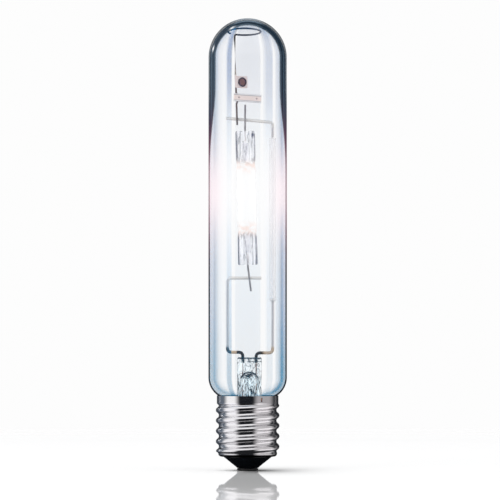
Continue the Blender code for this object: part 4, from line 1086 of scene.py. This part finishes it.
# painted reflections: round the dome the painted dark band has darker and paler lines in it, as the
# room lies in the thick glass, and it is paler on the crown's top
grain = bulb_glass.mottle(70.0, 2.0, (1.0, 1.0, 0.35)) - 0.5
wavy = facing + 0.10 * grain
room_reflection_lines = wavy.band(0.545, 0.030) + wavy.band(0.700, 0.022)
off_middle = abs(x)
flank = z.between(0.252, 0.262) * off_middle.between(0.006, 0.011)
crown_highlight = z.between(0.266, 0.271) * off_middle.between(0.011, 0.005)
slate = bulb_glass.blend(flank, (0.046, 0.078, 0.112), (0.022, 0.042, 0.066))
slate = bulb_glass.blend(crown_highlight * facing.between(0.58, 0.64), slate, (0.22, 0.29, 0.36))
slate = bulb_glass.blend(room_reflection_lines, slate, (0.008, 0.016, 0.028))
outline_tint = bulb_glass.blend(z.between(0.190, 0.230), (0.012, 0.020, 0.032), slate)
# painted light: near the arc the dark outline is painted pink
outline_tint = bulb_glass.blend(z.band(0.1715, 0.031), outline_tint, (0.26, 0.090, 0.15))
tint = bulb_glass.blend(outline.between(0.0, 0.30), tint, outline_tint)
# a faint even veil, with upright streaks at fixed bearings round the tube, some clearer and some
# greyer: painted reflections of the room in the glass
bearing = x.bearing(abs(y))
veil_and_painted_streaks = 0.045 + 0.035 * bulb_glass.mottle(160.0, 2.0, (1.0, 1.0, 0.03))
for start, end, change in (
    (-24.2, -18.8, -0.06), (19.0, 23.4, -0.06), (39.7, 45.3, -0.06),
    (-31.8, -24.2, 0.11), (26.8, 39.7, 0.03), (-49.0, -34.0, -0.035),
):
    stripe = bearing.between(start - 0.8, start + 0.8) * bearing.between(end + 0.8, end - 0.8)
    veil_and_painted_streaks = veil_and_painted_streaks + change * stripe
leaf = bearing.between(-33.0, -30.0) * bearing.between(-23.0, -25.0)
veil_and_painted_streaks = veil_and_painted_streaks + leaf * (0.10 * neck + z.between(0.208, 0.248, 0.0, 0.09))
wider = bearing.between(21.0, 23.0) * bearing.between(30.0, 28.0)
veil_and_painted_streaks = veil_and_painted_streaks - 0.06 * wider * z.between(0.165, 0.125)
veil_and_painted_streaks = veil_and_painted_streaks * (1.0 - 0.55 * calm) * z.between(0.200, 0.245, 1.0, 1.6)
upper_right = z.between(0.190, 0.235) * bearing.between(24.0, 31.0)
veil_and_painted_streaks = veil_and_painted_streaks + 0.07 * upper_right * bearing.between(42.0, 37.0)
# the arc's light, which lies as a pink haze on the glass round it
toward_edge = facing.between(0.03, 0.45)
glow = bulb_glass.blend(toward_edge, (1.0, 0.985, 0.985), (1.0, 0.83, 0.88))
glow_share = (0.13 + 0.20 * toward_edge) * halo * (1.0 - outline)
tint_share = soft * (1.0 - 0.92 * halo) + outline * (1.0 - 0.55 * halo) + veil_and_painted_streaks * (1.0 - 0.8 * halo)
share = glow_share + tint_share
glow_part = glow_share / (share + 0.0001)
shade = bulb_glass.body(
    Base_Color=bulb_glass.blend(glow_part, tint, (0.0, 0.0, 0.0)),
    Roughness=0.05,
    Specular_IOR_Level=0.0,
    Coat_Weight=facing.between(0.84, 0.74) * z.between(0.205, 0.235),
    Coat_IOR=1.9,
    Emission_Color=bulb_glass.blend(glow_part, (0.0, 0.0, 0.0), glow),
    Emission_Strength=1.10,
)
bulb_clear = bulb_glass.clear((0.998, 0.999, 1.0), 0.015, 0.014, 7.0)
bulb_glass.done(bulb_glass.mixed(share, bulb_clear, shade))

inner_glass = Finish("bulb_inner_wall")
flow = inner_glass.mottle(60.0, 2.0, (1.0, 1.0, 0.1))
mirrored = 0.006 + 0.10 * inner_glass.facing() ** 4.0 + 0.006 * flow
inner_glass.done(
    inner_glass.mixed(
        mirrored,
        inner_glass.node("ShaderNodeBsdfTransparent", sockets={"Color": (0.998, 0.999, 1.0)}),
        inner_glass.node(
            "ShaderNodeBsdfAnisotropic", sockets={"Color": (1.0, 1.0, 1.0), "Roughness": 0.02}
        ),
    )
)

outer_wall = bulb_wall(0.0, BULB_RADIUS)
inner_wall = bulb_wall(BULB_WALL, BULB_RADIUS - CROWN_WALL)
walls = [np.concatenate([out, into[::-1]]) for out, into in zip(outer_wall, inner_wall)]
bulb = rings(*walls, BULB_SIDES)
blown = piece("bulb", [skin(bulb)], bulb_glass, "clear_glass", "outer_bulb", sharp=60.0)
blown.data.materials.append(inner_glass.owner)
inner_faces = np.zeros(len(blown.data.polygons), dtype=np.int32)
inner_faces[len(outer_wall[0]) * BULB_SIDES : -2 * BULB_SIDES] = 1
inner_faces[-BULB_SIDES:] = 1
blown.data.polygons.foreach_set("material_index", inner_faces)


# Screw cap. A thin brass blank, rolled to a round thread and nickel-plated. The side lead comes
# out through a slot in its collar, where it is welded.

CAP_HEIGHT = 0.0458
COLLAR_RADIUS = 0.01885
THREAD_TOP = 0.0412
THREAD_END = 0.0104
CREST_RADIUS = 0.01945
THREAD_DEPTH = 0.0018
THREAD_ARC = 0.00185
THREAD_PITCH = 0.00635
THREAD_FADE = 0.0016
CREST_Z = 0.0147
SHELL_WALL = 0.00042
LIP_RADIUS = 0.0180
LIP_ARC = 0.0018
LIP_INNER = 0.0145
LIP_Z = 0.0086
SHELL_SIDES = 224


def threaded(height, bearing):
    """The round thread's radius: arcs of one radius, outwards at each crest, inwards between."""
    turn = (height - CREST_Z) / THREAD_PITCH - bearing / (2 * np.pi)
    offset = np.abs(turn - np.round(turn)) * THREAD_PITCH
    crest = CREST_RADIUS - THREAD_ARC + np.sqrt(np.clip(THREAD_ARC**2 - offset**2, 0, None))
    past = np.clip(THREAD_ARC**2 - (THREAD_PITCH / 2 - offset) ** 2, 0, None)
    root = CREST_RADIUS - THREAD_DEPTH + THREAD_ARC - np.sqrt(past)
    return np.where(offset < THREAD_PITCH / 4, crest, root)


slot_rows = np.array([0.0422, 0.0429, 0.0436, 0.0443, 0.0450])
lip_turn = np.linspace(-np.pi / 2, 0, 10)
thread_height = np.linspace(THREAD_END, THREAD_TOP, 112)[1:-1]
climb = (thread_height - THREAD_END) / (THREAD_TOP - THREAD_END)
station_radius, station_height = profile(
    ([LIP_INNER, LIP_INNER + 0.0008], LIP_Z),
    (LIP_RADIUS - LIP_ARC + LIP_ARC * np.cos(lip_turn), THREAD_END + LIP_ARC * np.sin(lip_turn)),
    (LIP_RADIUS + (COLLAR_RADIUS - LIP_RADIUS) * climb, thread_height),
    (COLLAR_RADIUS, [THREAD_TOP, 0.0417, *slot_rows, CAP_HEIGHT]),
)
share = smooth((THREAD_TOP - station_height) / THREAD_FADE)
share = share * smooth((station_height - THREAD_END) / THREAD_FADE)
bearing = np.linspace(0, 2 * np.pi, SHELL_SIDES, endpoint=False) + SIDE_BEARING
plain = station_radius[:, None] + 0 * bearing
shell_radius = plain + (threaded(station_height[:, None], bearing) - plain) * share[:, None]
shell_height = station_height[:, None] + 0 * bearing
rise = np.gradient(shell_height, axis=0)
swell = np.gradient(shell_radius, axis=0)
steep = np.hypot(rise, swell)
inner_shell_radius = shell_radius - SHELL_WALL * rise / steep
inner_shell_height = shell_height + SHELL_WALL * swell / steep
inner_shell_height[-1] = CAP_HEIGHT
both_radius = np.concatenate([shell_radius, inner_shell_radius[::-1]])
both_height = np.concatenate([shell_height, inner_shell_height[::-1]])
shell = [both_radius * np.cos(bearing), both_radius * np.sin(bearing), both_height]

# the slot is a window, two columns wide, round the first column: its faces go, and four cut edges
# join the outer wall to the inner one
shell_points, (shell_quads,) = skin(np.stack(shell, axis=-1), "loop")
rows = len(station_height)
first = rows - 1 - len(slot_rows)
last = first + len(slot_rows) - 1
shell_quads = shell_quads.reshape(2 * rows, SHELL_SIDES, 4)
kept = np.ones((2 * rows, SHELL_SIDES), bool)
for start, stop in ((first, last), (2 * rows - 1 - last, 2 * rows - 1 - first)):
    kept[start:stop, [-1, 0]] = False
slot_rim = [(first, -1), (first, 0)]
slot_rim += [(row, 1) for row in range(first, last)]
slot_rim += [(last, 1), (last, 0)]
slot_rim += [(row, -1) for row in range(last, first, -1)]
rim_row, rim_column = np.array(slot_rim).T
outer_rim = rim_row * SHELL_SIDES + rim_column % SHELL_SIDES
inner_rim = (2 * rows - 1 - rim_row) * SHELL_SIDES + rim_column % SHELL_SIDES
cut = np.stack([outer_rim, np.roll(outer_rim, -1), np.roll(inner_rim, -1), inner_rim], axis=-1)

nickel = Finish("nickel_plate")
haze = nickel.mottle(90.0, 4.0).between(0.35, 0.70)
rolled = nickel.mottle(1400.0, 3.0, (0.25, 0.25, 1.0))
# painted shade: the curled lip is painted near black
z = nickel.place()[2]
lip_shade = z.between(0.0106, 0.0096)
plate_colour = nickel.blend(haze, (0.86, 0.85, 0.86), (0.80, 0.78, 0.79))
facing = nickel.facing()
# painted shade: the plate is darker where it turns away from the eye
plate_colour = nickel.blend(facing.between(0.56, 0.72), plate_colour, (0.20, 0.21, 0.23))
nickel.done(
    nickel.body(
        Base_Color=nickel.blend(lip_shade, plate_colour, (0.030, 0.028, 0.030)),
        Metallic=1.0,
        Roughness=0.05 + 0.03 * haze + 0.04 * rolled + 0.30 * facing.between(0.46, 0.56),
        Normal=nickel.rough(rolled, 0.000015),
    )
)
shell = (shell_points, [shell_quads[kept], cut])
piece("screw_shell", [shell], nickel, "shell_metal", "cap_shell", sharp=50.0)


# Cap insulator. Black glass, moulded into the shell's curled lip while it was soft, so it holds
# the shell and the centre contact together. The bowl inside has a hole for the centre lead.

SHELL_BORE = 0.01723
INSULATOR_TOP = 0.0142
FOOT_RADIUS = 0.0069
LEAD_HOLE_RADIUS = 0.0019
waist = LIP_INNER - 0.0003
fit = SHELL_BORE - 0.0003
curl_radius = LIP_ARC - SHELL_WALL - 0.0003
curl_end = -np.arccos(min(1.0, (fit - LIP_RADIUS + LIP_ARC) / curl_radius))
a = np.linspace(curl_end, -np.pi / 2, 8)
cone = np.linspace(0, 1, 14)
insulator = profile(
    ([fit - 0.0024, fit - 0.0002, fit], [INSULATOR_TOP, INSULATOR_TOP, INSULATOR_TOP - 0.0002]),
    (LIP_RADIUS - LIP_ARC + curl_radius * np.cos(a), THREAD_END + curl_radius * np.sin(a)),
    ([waist, waist, LIP_INNER - 0.0001], [LIP_Z + SHELL_WALL + 0.0003, LIP_Z - 0.0003, LIP_Z - 0.0003]),
    (LIP_INNER + (FOOT_RADIUS - LIP_INNER) * cone, LIP_Z - 0.0004 + (0.0021 - LIP_Z + 0.0004) * cone),
    ([FOOT_RADIUS - 0.0002, FOOT_RADIUS - 0.0005], [0.0018, 0.0016]),
    (LEAD_HOLE_RADIUS, [0.0016, 0.0070]),
    ([LEAD_HOLE_RADIUS + 0.0008, fit - 0.0060], [0.0078, 0.0098]),
)
black_glass = mottled(
    "black_glass", (240.0, 2.0), ((0.002, 0.003, 0.004), (0.005, 0.006, 0.008)), (0.07, 0.08),
    relief=0.00005, Specular_IOR_Level=0.3,
)
insulator = [skin(rings(*insulator, 128), "loop")]
piece("moulded_insulator", insulator, black_glass, "black_glass", "cap_insulator")


# Centre contact. A dished disc, pressed from plated brass and held in the black glass. A drop
# of solder fills its hole round the end of the centre lead.

CONTACT_RADIUS = 0.0066
CONTACT_RIM = 0.0013
CONTACT_WALL = 0.0005
SOLDER_RADIUS = 0.0016
a = np.linspace(0, np.pi / 2, 8)
contact = profile(
    ([0.0061, 0.0065, CONTACT_RADIUS], [CONTACT_RIM, CONTACT_RIM, CONTACT_RIM - 0.0001]),
    (CONTACT_RADIUS - 0.0016 + 0.00155 * np.cos(a), 0.0009 * (1 - np.sin(a))),
    ([0.0036, LEAD_HOLE_RADIUS], 0.0),
    ([LEAD_HOLE_RADIUS, 0.0036, 0.0050], CONTACT_WALL),
    (0.0058, 0.0008),
)
contact_metal = mottled(
    "contact_plate", (900.0, 3.0), ((0.60, 0.60, 0.60), (0.48, 0.47, 0.46)), (0.24, 0.16), 1.0, 0.00003
)
contact = [skin(rings(*contact, 96), "loop")]
piece("contact_disc", contact, contact_metal, "contact_metal", "centre_contact")
solder = mottled(
    "solder", (700.0, 3.0), ((0.62, 0.63, 0.64), (0.50, 0.50, 0.52)), (0.22, 0.2), 1.0, 0.00008
)
s = np.sqrt(np.linspace(0.02, 1, 10))
drop = profile(
    (SOLDER_RADIUS * s, 0.00005 + 0.0004 * s**4),
    (SOLDER_RADIUS * s[::-1], 0.0013 - 0.0006 * s[::-1] ** 2),
)
piece("solder_drop", [skin(rings(*drop, 40))], solder, "solder", "contact_solder")


# Cement. A ring of baked cement between the neck and the shell. It stays as the CAD has it, out
# of sight in the cap.

cement = mottled(
    "basing_cement", (1200.0, 4.0), ((0.80, 0.77, 0.70), (0.66, 0.62, 0.55)), (0.9, 0.0), 0.0, 0.0002
)
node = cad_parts["basing_cement"]
node.data.materials.clear()
node.data.materials.append(cement.owner)


# Table. A white, slightly glossy surface that fades into the white room all round, and mirrors
# the foot of the cap.

table_mesh = bpy.data.meshes.new("table")
reach = 0.9
table_mesh.from_pydata(
    [(-reach, -reach, 0), (reach, -reach, 0), (reach, reach, 0), (-reach, reach, 0)], [], [(0, 1, 2, 3)]
)
table = bpy.data.objects.new("table", table_mesh)
bpy.context.scene.collection.objects.link(table)
white_top = Finish("white_table")
x, y, _ = white_top.place()
away = (x * x + y * y) ** 0.5
round_it = x.bearing(y * -1.0)
left_floor = round_it.between(-26.0, -52.0)
left_end = round_it.between(-80.0, -104.0)
right_floor = round_it.between(16.0, 44.0) * round_it.between(122.0, 84.0)
far = white_top.blend(left_floor, (0.012, 0.013, 0.015), (0.98, 0.98, 1.0))
far = white_top.blend(left_end, far, (0.13, 0.16, 0.20))
pale = white_top.blend(away.between(0.12, 0.40), (1.0, 0.98, 0.99), (0.40, 0.39, 0.40))
far = white_top.blend(right_floor, far, pale)
# painted shadow: as the metal mirrors the table, it is near black close to the foot
in_metal = white_top.blend(away.between(0.021, 0.038), (0.022, 0.023, 0.026), far)
from_metal = white_top.node("ShaderNodeLightPath", out="Is Glossy Ray")
# the soft shadow that the cap presses under itself, drawn out to the right
wide = x.between(-0.010, 0.020, 0.009, 0.030)
under = 2.718 ** ((((x - 0.006) / wide) ** 2.0 + ((y + 0.004) / 0.040) ** 2.0) * -1.0)
top_colour = white_top.blend(0.80 * under, (0.955, 0.955, 0.955), (0.02, 0.018, 0.018))
paint = white_top.body(
    Base_Color=white_top.blend(from_metal, top_colour, in_metal), Roughness=0.6, Specular_IOR_Level=0.0
)
mirror = white_top.node(
    "ShaderNodeBsdfAnisotropic", sockets={"Color": (1.0, 1.0, 1.0), "Roughness": 0.03}
)
gloss_share = away.between(0.004, 0.024) * (1.0 - 0.5 * under)
gloss_share = gloss_share * away.between(0.10, 0.80, 0.64, 0.30)
# like any varnish it mirrors at a flat look, and hardly from above
gloss_share = gloss_share * white_top.facing().between(0.30, 0.92, 0.06, 1.0)
open_air = white_top.node("ShaderNodeBsdfTransparent", sockets={"Color": (1.0, 1.0, 1.0)})
fade = away.between(0.42, 0.85)
white_top.done(
    white_top.mixed(fade, white_top.mixed(gloss_share * (1.0 - from_metal), paint, mirror), open_air)
)
table_mesh.materials.append(white_top.owner)


# Room. A white studio: the eye sees it white. What the lamp mirrors is a tall white screen on
# its left, a paler one on its right, a soft light above, and the dim room behind the camera.

room = bpy.data.worlds.new("room")
bpy.context.scene.world = room
walls = Finish("room", room)
way = walls.node("ShaderNodeTexCoord", out="Generated")
way_x, way_y, way_z = (
    walls.node("ShaderNodeSeparateXYZ", sockets={"Vector": way}, out=axis) for axis in ("X", "Y", "Z")
)
side_on = way_x.bearing(way_y * -1.0)
turned = abs(side_on)
left_screen = side_on.between(-104.0, -78.0) * side_on.between(-28.0, -54.0)
left_end = side_on.between(-78.0, -104.0) * side_on.between(-150.0, -140.0)
right_screen = side_on.between(18.0, 42.0) * side_on.between(124.0, 82.0)
behind = turned.between(163.0, 172.0) * abs(way_z).between(0.20, 0.12)
above = way_z.between(0.08, 0.20) * turned.between(116.0, 94.0)
overhead = way_z.between(0.88, 0.95)
small_lamp = side_on.band(-130.0, 5.0) * way_z.band(0.240, 0.070)
small_lamp = small_lamp + side_on.band(-132.0, 10.0) * way_z.band(0.825, 0.05)
seen = walls.blend(left_end, (0.012, 0.014, 0.018), (0.14, 0.17, 0.21))
seen = walls.blend(left_screen, seen, (1.0, 1.0, 1.0))
seen = walls.blend(right_screen, seen, (0.44, 0.43, 0.44))
seen = walls.blend(behind, seen, (1.0, 1.0, 1.0))
ceiling = walls.blend(side_on.between(10.0, 50.0), (0.95, 0.95, 0.97), (0.60, 0.59, 0.60))
seen = walls.blend(above, seen, ceiling)
seen = walls.blend(overhead, seen, (0.20, 0.20, 0.22))
seen = walls.blend(small_lamp, seen, (1.0, 1.0, 1.0))
glossy = walls.node("ShaderNodeLightPath", out="Is Glossy Ray")
diffuse = walls.node("ShaderNodeLightPath", out="Is Diffuse Ray")
tone = walls.blend(diffuse, (0.982, 0.982, 0.982), (0.85, 0.85, 0.86))
tone = walls.blend(glossy, tone, seen)
strength = 1.0 + 6.0 * small_lamp * glossy
walls.done(walls.node("ShaderNodeBackground", sockets={"Color": tone, "Strength": strength}))


# Lamps. Two soft lamps, a large one at the upper left and a weaker one at the right.

for name, at, size, power in (
    ("left_soft_lamp", (-1.1, -0.9, 1.3), 1.0, 9.0),
    ("right_soft_lamp", (1.3, -0.6, 0.9), 1.0, 4.0),
):
    light = bpy.data.lights.new(name, "AREA")
    light.shape = "SQUARE"
    light.size = size
    light.energy = power
    lamp = bpy.data.objects.new(name, light)
    lamp.location = at
    away = Vector((0.0, 0.0, 0.12)) - Vector(at)
    lamp.rotation_euler = away.to_track_quat("-Z", "Y").to_euler()
    lamp.visible_glossy = False
    bpy.context.scene.collection.objects.link(lamp)


# Camera. A long lens in front of the lamp, a little above the table, as in the photograph.

lens = bpy.data.cameras.new("camera")
lens.sensor_width = 36.0
lens.lens = 235.6
lens.clip_start = 0.05
lens.clip_end = 20.0
camera = bpy.data.objects.new("camera", lens)
camera.location = (0.00144, -2.004, 0.091)
camera.rotation_euler = (np.pi / 2 + np.arctan2(0.1349 - 0.091, 2.004), 0.0, 0.0)
bpy.context.scene.collection.objects.link(camera)
bpy.context.scene.camera = camera
